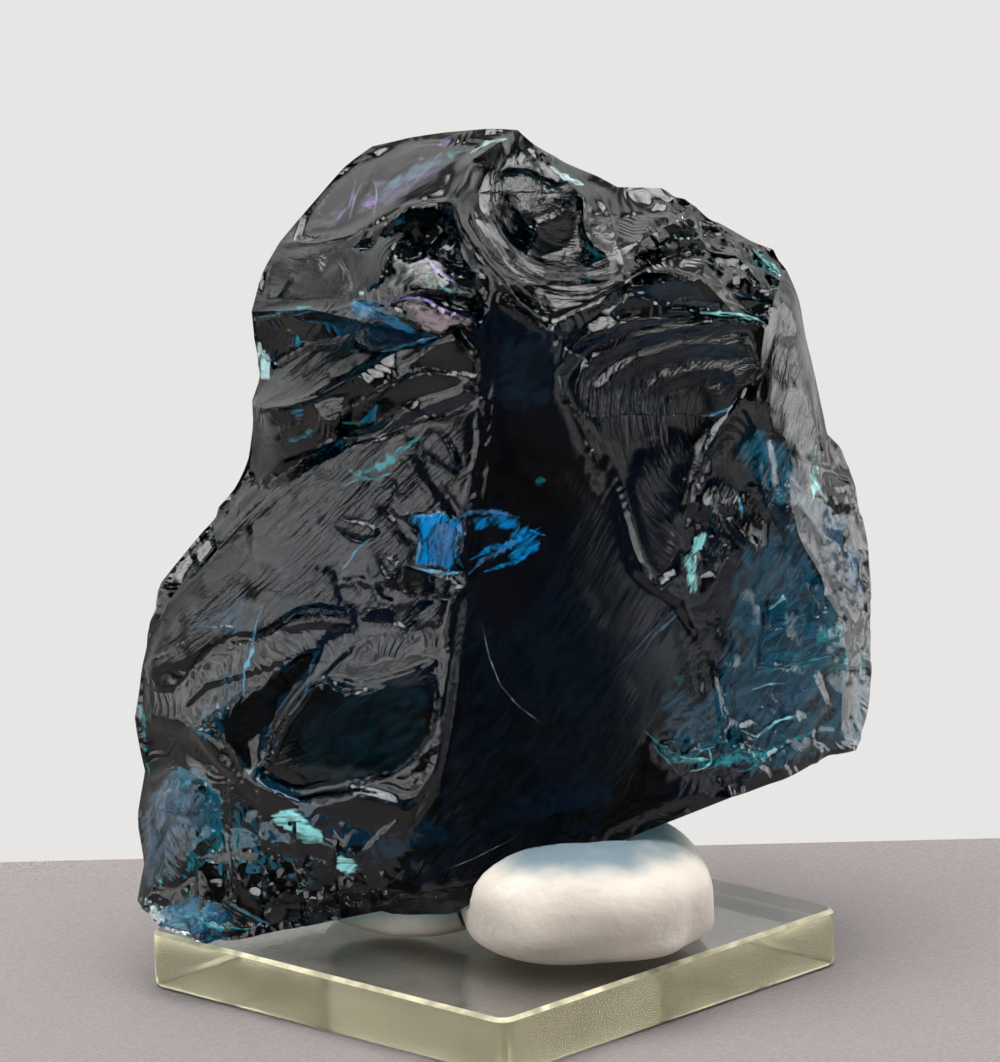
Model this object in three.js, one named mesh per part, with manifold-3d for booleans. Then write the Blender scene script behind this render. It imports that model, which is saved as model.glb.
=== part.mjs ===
// A chunk of slag glass held up by two lumps of putty on a clear acrylic slab.
// Millimetres, +X right, +Y away from the show face, +Z up; the origin is under the middle, on the ground.
import * as THREE from "three";
import { mergeVertices } from "three/addons/utils/BufferGeometryUtils.js";
import Module from "manifold-3d";

const wasm = await Module();
wasm.setup();

// ---- Driving dimensions ----
const SLAB_SIDE = 50.8; // a two inch square
const SLAB_THICK = 6;
const SLAB_TURN = 46.27; // degrees, about +Z
const SLAB_CORNER = 1.2; // radius of the upright corners
const SLAB_BEVEL = 0.4;
const CHUNK_SCALE = 1; // 1 gives a chunk about 76 mm wide and 84 mm tall
const CLEAR = 0.35; // gap kept between pieces that touch

// The chunk's corners are set out on the plane of its show face, which is tilted and rolled on the slab.
const SHOW_TILT = 13.638; // degrees that the show plane leans back
const SHOW_ROLL = 1.457; // degrees that it is rolled, seen from the front
const SHOW_DISTANCE = 812.8; // the outlines are true as seen from this far in front
const SHOW_CENTRE = 42.95; // height on the show plane of the line of sight
const SHOW_SHIFT = [1.665, 40.162]; // right, up: where the line of sight passes the slab's middle

const rad = THREE.MathUtils.degToRad;

// right, up, away on the show plane -> a point over the slab's middle
function place([right, up, away]) {
  const spread = (1 + away / SHOW_DISTANCE) * CHUNK_SCALE;
  const u = right * spread;
  const w = (up - SHOW_CENTRE) * spread;
  const roll = rad(SHOW_ROLL);
  const tilt = rad(SHOW_TILT);
  const x = u * Math.cos(roll) + w * Math.sin(roll) + SHOW_SHIFT[0];
  const lift = w * Math.cos(roll) - u * Math.sin(roll) + SHOW_SHIFT[1];
  const y = lift * Math.sin(tilt) + away * Math.cos(tilt);
  const z = lift * Math.cos(tilt) - away * Math.sin(tilt);
  return new THREE.Vector3(x, y, z);
}

// ---- The chunk's corners, as right, up, away ----
const corners = {
  // the outline seen from the show side, clockwise from the top
  r00: [-1.3, 84.6, 3], r01: [1.8, 84.4, 3], r02: [3.4, 83, 3.5], r03: [6.6, 81.3, 4],
  r04: [10.2, 79.8, 4.5], r05: [12.2, 78.6, 4.5], r06: [16.6, 78.5, 5], r07: [19.9, 76.9, 5],
  r08: [22.8, 75, 5], r09: [26, 72.9, 5], r10: [28.4, 72, 4.5], r11: [29.7, 70, 4],
  r12: [31, 66.6, 3], r13: [31.7, 62.6, 3.5], r14: [33.1, 57.8, 4], r15: [33.9, 53, 5],
  r16: [35.5, 51.4, 5.5], r17: [36.8, 47.8, 6], r18: [38, 43, 7], r19: [38.4, 36.5, 7.5],
  r20: [38.5, 31.5, 7], r21: [38.7, 28, 6], r22: [38, 23.8, 4], r23: [37.1, 20.3, 2],
  r24: [33.2, 19.2, -3], r25: [29.3, 17, -8], r26: [24, 15.3, -13], r27: [9.3, 9.3, -16],
  r28: [-2.1, 4.7, -15], r29: [-4.9, 3.1, -14], r30: [-9.8, 3.1, -12], r31: [-12.2, 3.6, -11],
  r32: [-17.1, 2.6, -10], r33: [-22.3, 1.7, -9.5], r34: [-27.7, 0.5, -8.5], r35: [-31.6, 0.3, -7.5],
  r36: [-34.7, 1.6, -5], r37: [-37.6, 4.5, -1], r38: [-36.9, 8.3, 1], r39: [-37.5, 13, 2],
  r40: [-36.9, 18.1, 2.5], r41: [-37.9, 23.6, 3], r42: [-37.1, 29, 3], r43: [-36.2, 34, 3],
  r44: [-35, 37.6, 3.5], r45: [-31.1, 42.5, 4], r46: [-27, 48, 4.5], r47: [-25.8, 50.5, 5],
  r48: [-25.7, 54.6, 4], r49: [-25.8, 56.4, 3], r50: [-24.8, 59, 4], r51: [-25.4, 62, 5],
  r52: [-25.7, 65.6, 5], r53: [-24.9, 69.6, 6], r54: [-22.8, 72.9, 7], r55: [-18.7, 77.7, 8],
  r56: [-16.2, 80.8, 8.5], r57: [-13.3, 82.9, 8.5], r58: [-9.5, 83.7, 8], r59: [-5.4, 84.3, 6],
  // the crown and the shadowed slit and cave under it
  a0: [0.2, 83.4, 0.5], a1: [-2.8, 81.6, -1], a2: [-5, 77.8, -5], t1: [-5.8, 77.1, -6],
  t2: [-9.9, 76.5, -6.5], t3: [-10.6, 75.5, -6.5], k1: [-12.7, 79.2, 1.5], k2: [-13, 74.6, -4],
  b3: [-15, 73.7, -3], b4: [-19, 72.9, 1],
  // the bowl at the top
  c1: [4.7, 81, 1], c2: [6.2, 79.5, 0], c3: [8.7, 78.2, 0.6], c4: [9.6, 79, 2.5], c5: [11.3, 77.4, 1.8],
  w1: [-0.9, 79.3, -0.6], w2: [0.5, 80.2, 0.4], w3: [7.3, 78.3, -0.6], w4: [4.4, 76.2, -2.2],
  w5: [1.4, 75.1, -3.6], w6: [-0.6, 75.9, -3.2], wb: [0.9, 77.9, -2.2], w7: [3.2, 71.3, -6.6],
  w8: [4.7, 70.3, -7.2], w9: [10.3, 70.5, -6.2], w10: [10.6, 71.6, -5.8], w11: [8.2, 74.3, -2.6],
  h1: [9.2, 77.4, 0.4], h2: [9.2, 74.6, -1.6], h3: [10.8, 72.5, -4.6], w13: [11.4, 75.2, -1.5],
  w14: [12.5, 71.9, -6.2], w16: [12.8, 70.6, -8.2], w15: [13, 69, -10.8], wc: [3.5, 68.5, -12.2],
  wd: [8, 68.3, -11.8], w17: [9.5, 67.1, -12.6], w18: [5.3, 64.9, -13.8], w19: [4.8, 63.6, -14.6],
  w20: [0, 68.5, -13.8], w21: [-2.6, 72, -12], w22: [-4.6, 75.3, -8.5], wa: [-1.4, 73.6, -7],
  // the upper right, and the shell-shaped fracture with its tongue
  p2: [15.3, 73.6, -4.2], p3: [16, 75.1, -2], p4: [19, 75.5, 0.5], q1: [15, 69.8, -10.2],
  q2: [21, 69.2, -7.6], q5: [21.5, 72, -1], q6: [24.5, 71.5, -1], q7: [28.2, 67.5, -5],
  n0: [5.4, 57.3, -14], n1: [6.2, 60, -13.4], n2: [8.4, 62.8, -13], n3: [13.2, 64.8, -12.6],
  n4: [21, 65.6, -10.4], n4b: [24.1, 65.7, -9], n5: [27.6, 64.3, -7.6], n6: [27, 60.4, -8],
  n7: [26, 58.7, -8.6], n8: [24.8, 56.5, -9.2], n9: [22.9, 54.3, -10], n10: [20.9, 51, -10.6],
  n11: [19.6, 47.3, -12.5], n12: [18.7, 42, -13.3], n13: [18.5, 38.2, -14], n14: [17, 37, -15],
  n15: [14.3, 40, -15], n16: [12.5, 45.5, -14.6], n17: [11, 50.3, -13.6], n18: [10.2, 54.8, -13.4],
  // the streaked ridge down the right
  S4: [27.6, 54.5, -9], S5: [29.8, 50.3, -8.3], S6: [32.6, 52.5, -3], S7: [31.8, 47, -5],
  S8: [31.9, 43.5, -5.8], S9: [33.6, 39, -4.8], S10: [35.4, 34.5, -3], S11: [36.2, 30.3, -1.8],
  S12: [34.9, 30.2, -4.2], S13: [34.9, 33.8, -5.3], S14: [33, 38.5, -7.6], S15: [31, 42.3, -9],
  S16: [30.2, 45.5, -9.4], T1a: [35, 45.5, -0.5], T2a: [36.8, 33, 1], T3a: [35.3, 20.9, -0.5],
  T3b: [35.6, 25.5, -2.5],
  // the broken ground inside the ridge
  v1a: [26.2, 47.3, -9], v1b: [23.7, 48.3, -9.6], v2a: [28.7, 43.3, -8.8], v2b: [25.6, 44, -10.6],
  v3a: [21.8, 45.5, -11.8], v3b: [26.1, 41.4, -11], v3c: [23.7, 40.2, -12.2], v3d: [22.3, 42.6, -12.2],
  v4a: [19.7, 44.3, -12.2], v4b: [21.8, 43.6, -11.2], v4c: [21, 41.3, -12.2], v4d: [20.8, 38.2, -12.6],
  v4e: [20.3, 34.6, -13.6], v5b: [21.8, 37, -12.8], v6a: [25.2, 37.3, -10.8], v6b: [24.6, 34, -11.3],
  v6c: [22.4, 33.3, -12.4], v7a: [24.2, 29.7, -11.8], v7b: [21.7, 31, -13], v8a: [30.8, 39.6, -8.2],
  v8b: [26.6, 36, -9.6], u1: [29.4, 35.8, -9], u2: [32.3, 37.5, -6.6], u3: [34.2, 30, -5.6],
  u4: [29.8, 29.6, -8.8], u5: [26.4, 33.5, -10.3], u6: [26.3, 30, -10.6], u7: [33.6, 27.8, -5.2],
  u8: [31.8, 25.6, -7], u9: [30.8, 24, -8.2], u10: [27.3, 21.8, -10.5], u11: [24, 22.9, -12.2],
  u12: [23.8, 28.3, -12.2], u14: [31.5, 20.8, -6.5], u15: [28.5, 19.2, -9.3], u16: [26.8, 18.2, -11],
  y1: [14.6, 20.8, -15.2], y2: [18.3, 17.7, -14.7], y3: [21, 21.5, -13.4], y4: [23, 18.2, -12.9],
  y6: [20.5, 15.2, -14.2],
  // the crest between the left slab and the big front face, top to bottom, and the front face's soft fold
  d0: [-2.2, 70.4, -12.8], d1: [-2, 67.3, -13.4], d2: [-2.6, 64, -13.9], d3: [-2.9, 61.3, -14.1],
  d4: [-2, 57.2, -14.6], d5: [-1.8, 53.5, -15], d6: [-2.8, 49.5, -15.4], d7: [-3.5, 45.6, -15.8],
  d8: [-4.4, 41.5, -16.1], d9: [-3.3, 37.8, -16.5], d10: [-4.9, 35.2, -16.7], d11: [-5.6, 30.6, -17],
  d12: [-6.2, 24.8, -17.1], d13: [-6.6, 18.3, -16.9], d14: [-9.8, 13.8, -16.2], d15: [-14.7, 9.4, -14.2],
  x1: [4, 27, -16.6], x2: [13, 31, -16.2],
  // the ribbons, ledges and dark bands at the upper left
  e1: [-14.4, 70.6, -5.4], e2: [-14.7, 67.1, -7.6], e3: [-20, 66, -3.2], e5: [-9.4, 74.8, -6],
  e6: [-12.6, 73.3, -5.4], e8: [-10.5, 72.2, -8.2], e9: [-12.2, 69.2, -9.2], e10: [-12.5, 67.3, -9.4],
  e11: [-4.6, 72.8, -8.6], e12: [-7.8, 71.8, -8.8], e13: [-6.5, 70.2, -10.3], e14: [-4.6, 68, -11.6],
  e16: [-5, 66.7, -12.2], e17: [-8.5, 67.4, -11.2], e20: [-4.8, 63.5, -13.4], e21: [-6.6, 63.2, -12.4],
  e22: [-11, 65.9, -10.6], e24: [-13, 64.4, -9.6], e25: [-17.5, 65.4, -6.2], f1: [-4.6, 61.2, -13.9],
  f2: [-18, 54.4, -7.6], f4: [-12.3, 56.9, -11.4], g1: [-20, 62.4, 0.6], g2: [-15, 63.5, -4],
  g3: [-15.3, 62.2, -4.6], g4: [-10.8, 61.7, -9], g5: [-15, 59.1, -9.6], g6: [-20, 56.5, -6.4],
  g7: [-24, 55.3, -2.6],
  // the left slab: its top edge, its steps and the pit
  B2: [-5.5, 56.4, -14.2], B3: [-8.3, 54.8, -12.4], B4: [-10, 52.9, -11.6], B5: [-14.8, 52.5, -9.6],
  B6: [-18.7, 50.6, -6.4], B7: [-22.8, 46.9, -3.8], B8: [-27, 43, -1.2], B9: [-32.8, 37.6, 0.5],
  i1: [-10.8, 48.3, -12.4], i2: [-11.6, 45.5, -11.4], i3: [-9.6, 43.9, -13], j1: [-11.8, 37.7, -12.8],
  j2: [-9.8, 39.4, -13.2], j3: [-7.2, 38.6, -14.2], j4: [-6.9, 36.8, -15], j5: [-10.6, 36.4, -13.8],
  z1: [-17, 46.8, -9.3], z2: [-27, 40, -4], z3: [-33.5, 35, -0.2],
  l2: [-33, 31.3, -1.8], l3: [-29, 32.9, -4.8], l4: [-25.5, 31.9, -7], l5: [-22.5, 33, -8.6],
  l6: [-20, 34.8, -9.8], l7: [-16.5, 34.2, -11.7], l8: [-14.8, 34.4, -12.4], l9: [-13, 33.6, -13.4],
  l10: [-9.2, 32.8, -15.2], l11: [-8.8, 35, -15], l12: [-6.5, 36, -15.9],
  // the hinged steps below it
  A1: [-26.5, 28, -6.2], A2: [-31.5, 26, -3.2], A3: [-34, 25.4, -0.5], A4: [-15.8, 32.2, -11],
  A5: [-18, 29.4, -11.8], A6: [-21.8, 29.8, -8], A7: [-10, 31.8, -14.4], A8: [-8, 28.8, -16.6],
  A9: [-12, 27.1, -15.2], A10: [-15, 27.1, -13.8], A11: [-15, 15.2, -14.8], A12: [-20, 14, -12.2],
  A13: [-25.8, 16.8, -8.8], A14: [-22.8, 23.5, -10.4], A15: [-31.5, 22, -4.6], A16: [-34, 22.2, -1],
  A17: [-30, 17.6, -5.4], A18: [-33.8, 18.2, -1.2],
  // the crushed foot at the lower left, with the bright chip
  C1: [-24, 13.6, -9], C3: [-18.8, 12.6, -12.6], C4: [-17, 10.8, -13.6], C6: [-14.7, 7.9, -13.9],
  C7: [-16, 7.1, -13.2], C8: [-18.4, 10.6, -12.4], C9: [-20.7, 10.5, -11], C10: [-22.6, 12, -9.6],
  J1: [-27.5, 13.6, -7], J2: [-31.5, 15.5, -4.4], J3: [-33.2, 11, -4.2], J4: [-32.6, 8, -4.4],
  J5: [-35, 5.8, -3], J6: [-26.5, 9.5, -7.8], J7: [-30, 8.2, -5.5], J8: [-27, 5.5, -8],
  J9: [-31, 4, -6.8], J10: [-22.8, 4.8, -9.8], J11: [-17.5, 4.8, -11.5], j70: [-14, 5.2, -12.8],
  j71: [-12, 6.6, -14], j72: [-8, 7.4, -15.4], j73: [-4.8, 6.4, -15.7],
  // the back and the underside
  K1: [-8, 79, 16], K2: [6, 76.5, 18], K3: [18, 70, 17], K4: [26, 60, 16], K5: [31, 46, 18],
  K6: [31, 33, 17], K7: [29, 25, 13], K10: [-17, 72, 16], K11: [-19, 60, 16], K12: [-22, 46, 15],
  K13: [-29, 34, 14], K14: [-31, 20, 12], K15: [-29, 9, 6], M1: [-3, 68, 25], M2: [10, 62, 26],
  M3: [16, 50, 28], M4: [-9, 54, 27], M5: [-14, 38, 25], M6: [2, 42, 31], M7: [18, 36, 26],
  M8: [-18, 22, 20], M9: [-2, 26, 28], M10: [14, 24, 24], N1: [-20, 8.6, 8], N2: [-4, 12, 14],
  N3: [12, 16.5, 16], N4: [24, 20, 9],
};

// ---- Its facets: corners in order, then how the face is finished ----
// grain: size of its triangles; dish: hollow as a share of its half width (below zero it swells);
// wave: [right, up, length, height] of the rings round the point that was struck; rough: broken ground
const facets = [
  // crown
  ["r54 r55 r56 r57 k1 k2 b3 b4", { grain: 2.4 }],
  ["r57 r58 r59 a1 k1", { grain: 2.4 }],
  ["k1 a1 a2 t1 t2 t3 k2", { grain: 2.2 }],
  ["r59 r00 r01 a0 a1", { grain: 1.8, dish: 0 }],
  // bowl
  ["a1 a0 r01 r02 c1 c2 c3 w3 w2 w1", { grain: 1.5 }],
  ["a1 w1 w6 wa w22 a2", { grain: 1.5 }],
  ["w1 w2 wb w5 w6", { grain: 1.5, dish: 0.3 }],
  ["w2 w3 w4 w5 wb", { grain: 1.6, dish: -0.12 }],
  ["w5 w4 w3 c3 w11 w10 w9 w8 w7", { grain: 1.7, dish: 0.16 }],
  ["c3 h1 h2 h3 w14 w10 w11", { grain: 1.4, dish: 0 }],
  ["c3 c4 c5 w13 w14 h3 h2 h1", { grain: 1.6 }],
  ["c1 r03 c4 c3 c2", { grain: 1.3, rough: 0.15 }],
  ["r02 r03 c1", { grain: 1.2, rough: 0.25 }],
  ["r03 r04 r05 c5 c4", { grain: 1.2, rough: 0.3 }],
  ["w6 w5 w7 wa", { grain: 1.5 }],
  ["w22 wa w7 w8 wc w20 w21", { grain: 1.4, wave: [9, 78, 4, 0.25] }],
  ["w8 w9 w10 w14 w16 w15 wd wc", { grain: 1.5, wave: [8, 78, 4, 0.2] }],
  ["wc wd w15 w17 w18", { grain: 1.5, wave: [8, 78, 4, 0.2] }],
  ["wc w18 w19 w20", { grain: 1.4 }],
  // upper right
  ["w13 c5 r05 r06 r07 p4 p3 p2 w14", { grain: 1.8 }],
  ["w14 p2 p3 p4 q5 q2 q1 w15 w16", { grain: 1.7, dish: 0.3 }],
  ["p4 r07 r08 r09 q6 q5", { grain: 1.3, rough: 0.3 }],
  ["r09 r10 r11 q7 q6", { grain: 1.3, rough: 0.35 }],
  ["q5 q6 q7 n5 n4b q2", { grain: 1.4, rough: 0.22 }],
  ["w19 w18 w17 w15 q1 q2 n4b n4 n3 n2 n1 n0", { grain: 2.2 }],
  // the shell-shaped fracture
  ["n0 n1 n2 n3 n4 n4b n5 n6 n7 n8 n9 n10 n18", { grain: 1.5, dish: 0.2, wave: [26, 55, 4.4, 0.14] }],
  ["n18 n10 n11 n12 n13 n14 n15 n16 n17", { grain: 1.9, dish: 0.2 }],
  // streaked ridge and the thin edge outside it
  ["q7 r11 r12 r13 r14 S6 S5 S4 n7 n6 n5", { grain: 1.6, dish: -0.1, wave: [60, 66, 4.2, 0.2] }],
  ["S5 S6 S7 S8 S9 S10 S11 S12 S13 S14 S15 S16", { grain: 1.5 }],
  ["S6 r14 r15 r16 r17 T1a S7", { grain: 1.5, rough: 0.2 }],
  ["S7 T1a r17 r18 r19 T2a S10 S9 S8", { grain: 2.1 }],
  ["S11 S10 T2a r19 r20 r21 r22 r23 T3a T3b", { grain: 1.6, rough: 0.2 }],
  // broken ground
  ["n10 n9 n8 n7 S4 S5 v1a v1b", { grain: 1.6 }],
  ["n11 n10 v1b v3a v4b v4a", { grain: 1.5 }],
  ["v1a S5 S16 v2a v2b", { grain: 1.6 }],
  ["v3a v1b v1a v2b v3b v3c v3d", { grain: 1.6 }],
  ["n12 n11 v4a v4b v4c v4d v4e n13", { grain: 1.3, rough: 0.15, dish: -0.2 }],
  ["v4b v3a v3d v3c v5b v4d v4c", { grain: 1.4, dish: 0.5 }],
  ["v3c v3b v6a v6b v6c v5b", { grain: 1.5 }],
  ["v4d v5b v6c v4e", { grain: 1.4 }],
  ["v6c v6b u5 u6 v7a v7b", { grain: 1.6 }],
  ["v4e v6c v7b", { grain: 1.6 }],
  ["v3b v2b v2a v8a v8b v6a", { grain: 1.5 }],
  ["v2a S16 S15 v8a", { grain: 1.5 }],
  ["v8a S15 S14 u2 u1 v8b", { grain: 1.4, rough: 0.2 }],
  ["v6a v8b u5 v6b", { grain: 1.5 }],
  ["u5 v8b u1 u4 u6", { grain: 1.7 }],
  ["u1 u2 S14 S13 S12 u3 u4", { grain: 1.8 }],
  ["u6 u4 u3 u7 u8 u9 u10 u11 u12 v7a", { grain: 2 }],
  ["u3 S12 S11 T3b u7", { grain: 1.5 }],
  ["u8 u7 T3b T3a u14 u9", { grain: 1.6, rough: 0.15 }],
  ["u14 T3a r23 r24 r25 u15", { grain: 1.4, rough: 0.25 }],
  ["u10 u9 u14 u15 u16", { grain: 1.4, rough: 0.25 }],
  ["u11 u10 u16 y4", { grain: 1.8, dish: 0 }],
  ["y4 u16 u15 r25 r26 y6 y2", { grain: 1.4, rough: 0.2 }],
  ["y1 y3 u11 y4 y2", { grain: 1.4, rough: 0.25 }],
  // the big front face, in two leaves
  ["w21 w20 w19 n0 n18 n17 n16 n15 n14 x2 x1 d12 d11 d10 d9 d8 d7 d6 d5 d4 d3 d2 d1 d0",
    { grain: 2.8, dish: 0.01 }],
  ["d12 x1 x2 n14 n13 v4e v7b v7a u12 u11 y3 y1 y2 y6 r26 r27 r28 j73 j72 j71 j70 d15 d14 d13",
    { grain: 2.9, dish: 0.02 }],
  // upper left
  ["r52 r53 r54 b4 b3 e1 e2 e3", { grain: 2 }],
  ["b3 k2 t3 e5 e6 e1", { grain: 1.5, dish: 0.6 }],
  ["e2 e1 e6 e5 e8 e9 e10", { grain: 1.5, dish: -0.2 }],
  ["t3 t2 t1 a2 w22 e11 e12 e8 e5", { grain: 1.6, dish: 0.7 }],
  ["e10 e9 e8 e12 e13 e14 d1 e16 e17", { grain: 1.4, dish: -0.1 }],
  ["e12 e11 w22 w21 d0 d1 e14 e13", { grain: 1.2, rough: 0.25 }],
  ["e10 e17 e16 d1 d2 e20 e21 e22", { grain: 1.4, dish: -0.15 }],
  ["e21 e20 d2 d3 f1", { grain: 1.6 }],
  ["e3 e2 e10 e22 e21 e24 e25", { grain: 1.5 }],
  ["r49 r50 g1 g2 g3 g4 g5 g6 g7", { grain: 1.7 }],
  ["r50 r51 r52 e3 e25 e24 g2 g1", { grain: 1.9, dish: 0.25 }],
  ["g2 e24 e21 g4 g3", { grain: 1.6, dish: 0.25 }],
  ["g5 g4 e21 f1 d3 d4 B2 B3 f4", { grain: 2 }],
  ["g6 g5 f4 B3 B4 B5 f2", { grain: 1.8, dish: 0.2 }],
  ["r46 r47 r48 r49 g7 g6 f2 B5 B6 B7 B8", { grain: 2, dish: 0.16 }],
  ["r44 r45 r46 B8 B9", { grain: 1.6, rough: 0.2 }],
  // left slab
  ["d4 d5 d6 d7 i3 i2 i1 B4 B3 B2", { grain: 1.9 }],
  ["i3 d7 d8 d9 j4 j3 j2", { grain: 1.6, dish: 0.2 }],
  ["j1 j2 j3 j4 j5", { grain: 1.2, dish: 0.9 }],
  ["i1 B4 B5 B6 B7 B8 B9 r44 r43 z3 z2 z1", { grain: 1.9, dish: -0.14 }],
  ["i2 i1 z1 z2 z3 r43 r42 l2 l3 l4 l5 l6 l7 l8 l9 l10 l11 l12 d9 j4 j5 j1 j2 i3",
    { grain: 2.1, dish: 0.05 }],
  ["l10 l11 l12 d9 d10 d11 A7", { grain: 1.6 }],
  ["r42 l2 l3 l4 A1 A2 A3", { grain: 1.7, dish: -0.2 }],
  ["l4 l5 l6 l7 l8 A4 A5 A6 A1", { grain: 1.6, dish: 0.2 }],
  ["l8 l9 l10 A7 A4", { grain: 1.6, dish: 0.2 }],
  ["A5 A4 A7 d11 A8 A9 A10", { grain: 1.6, dish: 0.3 }],
  ["A5 A10 A9 A8 d11 d12 d13 d14 A11 A12 A13 A14", { grain: 2.1, dish: 0.12 }],
  ["A1 A6 A5 A14 A13 A15 A2", { grain: 1.9, dish: 0.16 }],
  ["r41 r42 A3 A2 A15 A16", { grain: 1.7 }],
  ["r40 r41 A16 A15 A13 A17 A18", { grain: 1.8, dish: 0.2 }],
  // crushed foot
  ["A12 A11 d14 d15 C4 C3", { grain: 1.6 }],
  ["C1 A12 C3 C8 C9 C10", { grain: 1.2, dish: -0.35, rough: 0.12 }],
  ["C3 C4 d15 C6 C7 C8", { grain: 1.2, dish: -0.3, rough: 0.1 }],
  ["A17 A13 A12 C1 J1", { grain: 1.6 }],
  ["r37 r38 r39 r40 A18 J2 J3 J4 J5", { grain: 1.7, dish: -0.12 }],
  ["A18 A17 J1 J2", { grain: 1.5 }],
  ["J2 J1 C1 C10 J6 J7 J4 J3", { grain: 1.5, rough: 0.22 }],
  ["r35 r36 r37 J5 J4 J7 J9", { grain: 1.4, rough: 0.25 }],
  ["r33 r34 r35 J9 J7 J6 J8 J10", { grain: 1.3, rough: 0.28 }],
  ["J6 C10 C9 C8 C7 J11 J10 J8", { grain: 1.5, rough: 0.22 }],
  ["J11 C7 C6 d15 j70 r31 r32 r33 J10", { grain: 1.5, rough: 0.25 }],
  ["j70 j71 j72 j73 r28 r29 r30 r31", { grain: 1.4, rough: 0.22 }],
  // back, round the outline
  ["r55 r56 r57 r58 K1 K10", { grain: 3 }],
  ["r58 r59 r00 r01 r02 K2 K1", { grain: 3 }],
  ["r02 r03 r04 r05 r06 K3 K2", { grain: 3 }],
  ["r06 r07 r08 r09 r10 r11 K4 K3", { grain: 3 }],
  ["r11 r12 r13 r14 r15 K5 K4", { grain: 3 }],
  ["r15 r16 r17 r18 r19 K6 K5", { grain: 3 }],
  ["r19 r20 r21 r22 K7 K6", { grain: 3 }],
  ["r22 r23 r24 r25 N4 K7", { grain: 3 }],
  ["r25 r26 r27 N3 N4", { grain: 3 }],
  ["r27 r28 r29 r30 N2 N3", { grain: 3 }],
  ["r30 r31 r32 r33 r34 N1 N2", { grain: 3 }],
  ["r34 r35 r36 r37 K15 N1", { grain: 2.6 }],
  ["r37 r38 r39 r40 K14 K15", { grain: 3 }],
  ["r40 r41 r42 r43 K13 K14", { grain: 3 }],
  ["r43 r44 r45 r46 K12 K13", { grain: 3 }],
  ["r46 r47 r48 r49 r50 K11 K12", { grain: 3 }],
  ["r50 r51 r52 r53 r54 K10 K11", { grain: 3 }],
  ["r54 r55 K10", { grain: 3 }],
  // back, the middle
  ["K10 K1 M1", { grain: 3.4 }],
  ["K1 K2 K3 M2 M1", { grain: 3.4, wave: [4, 84, 5, 0.3] }],
  ["K3 K4 M3 M2", { grain: 3.4 }],
  ["K4 K5 M7 M3", { grain: 3.4 }],
  ["K5 K6 K7 M10 M7", { grain: 3.4, wave: [40, 40, 5, 0.3] }],
  ["K10 M1 M4 K11", { grain: 3.4 }],
  ["K11 M4 M5 K12", { grain: 3.4 }],
  ["K12 M5 K13", { grain: 3.4 }],
  ["K13 M5 M8 K14", { grain: 3.4 }],
  ["K14 M8 N1 K15", { grain: 3.4 }],
  ["M1 M2 M3 M6 M4", { grain: 3.4, wave: [10, 70, 6, 0.35] }],
  ["M4 M6 M5", { grain: 3.4 }],
  ["M5 M6 M9 M8", { grain: 3.4 }],
  ["M6 M3 M7 M10 M9", { grain: 3.4 }],
  ["M8 M9 N2 N1", { grain: 3.4 }],
  ["M9 M10 N3 N2", { grain: 3.4 }],
  ["M10 K7 N4 N3", { grain: 3.4 }],
];

// ---- From corners and facets to one closed skin ----
const BEND_HEIGHT = 0.2; // of the slow bends given to every edge
const BEND_LENGTH = 7.3;
const DISH = 0.16; // hollow of a facet that states none
const RING_FADE = 1.6; // width over which rings die away at a facet's edge
const GRID_JITTER = 0.18; // share of the grain
const EDGE_MARGIN = 0.55; // share of the grain kept free along a facet's edge
const MEMBRANE_PASSES = 120;
const EVEN_PASSES = 40;

// A smooth, repeatable bend: three waves crossing at odd angles.
function bend(p, length, seed) {
  const k = (2 * Math.PI) / length;
  const a = Math.sin(k * (p.x * 0.83 + p.z * 0.41 + p.y * 0.37) + seed);
  const b = Math.sin(k * (p.z * 0.91 - p.x * 0.35 + p.y * 0.23) + seed * 2.3);
  const c = Math.sin(k * (p.y * 0.77 + p.x * 0.29 - p.z * 0.57) + seed * 3.1);
  return (a + b + c) / 3;
}

// A repeatable value from -1 to 1 for a point, different for neighbours.
function grit(p, seed) {
  const s = Math.sin(p.x * 12.9898 + p.y * 78.233 + p.z * 37.719 + seed) * 43758.5453;
  return 2 * (s - Math.floor(s)) - 1;
}

function wobbled(p) {
  const q = p.clone();
  q.x += BEND_HEIGHT * bend(p, BEND_LENGTH, 1.3);
  q.y += BEND_HEIGHT * bend(p, BEND_LENGTH, 4.1);
  q.z += BEND_HEIGHT * bend(p, BEND_LENGTH, 7.7);
  return q;
}

const edgeGrain = new Map();
const edgeKey = (a, b) => (a < b ? a + " " + b : b + " " + a);

// The finer of the two facets that share an edge sets its steps.
function planEdges(loops) {
  loops.forEach(({ names, grain }) => {
    names.forEach((a, i) => {
      const key = edgeKey(a, names[(i + 1) % names.length]);
      edgeGrain.set(key, Math.min(grain, edgeGrain.get(key) ?? Infinity));
    });
  });
}

// Points from corner a up to, but not including, corner b.
function edgePoints(a, b) {
  const [from, to] = [a, b].sort();
  const p = place(corners[from]);
  const q = place(corners[to]);
  const steps = Math.max(1, Math.round(p.distanceTo(q) / edgeGrain.get(edgeKey(a, b))));
  const points = [];
  for (let i = 0; i <= steps; i++) points.push(wobbled(p.clone().lerp(q, i / steps)));
  if (from !== a) points.reverse();
  return points.slice(0, -1);
}

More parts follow.
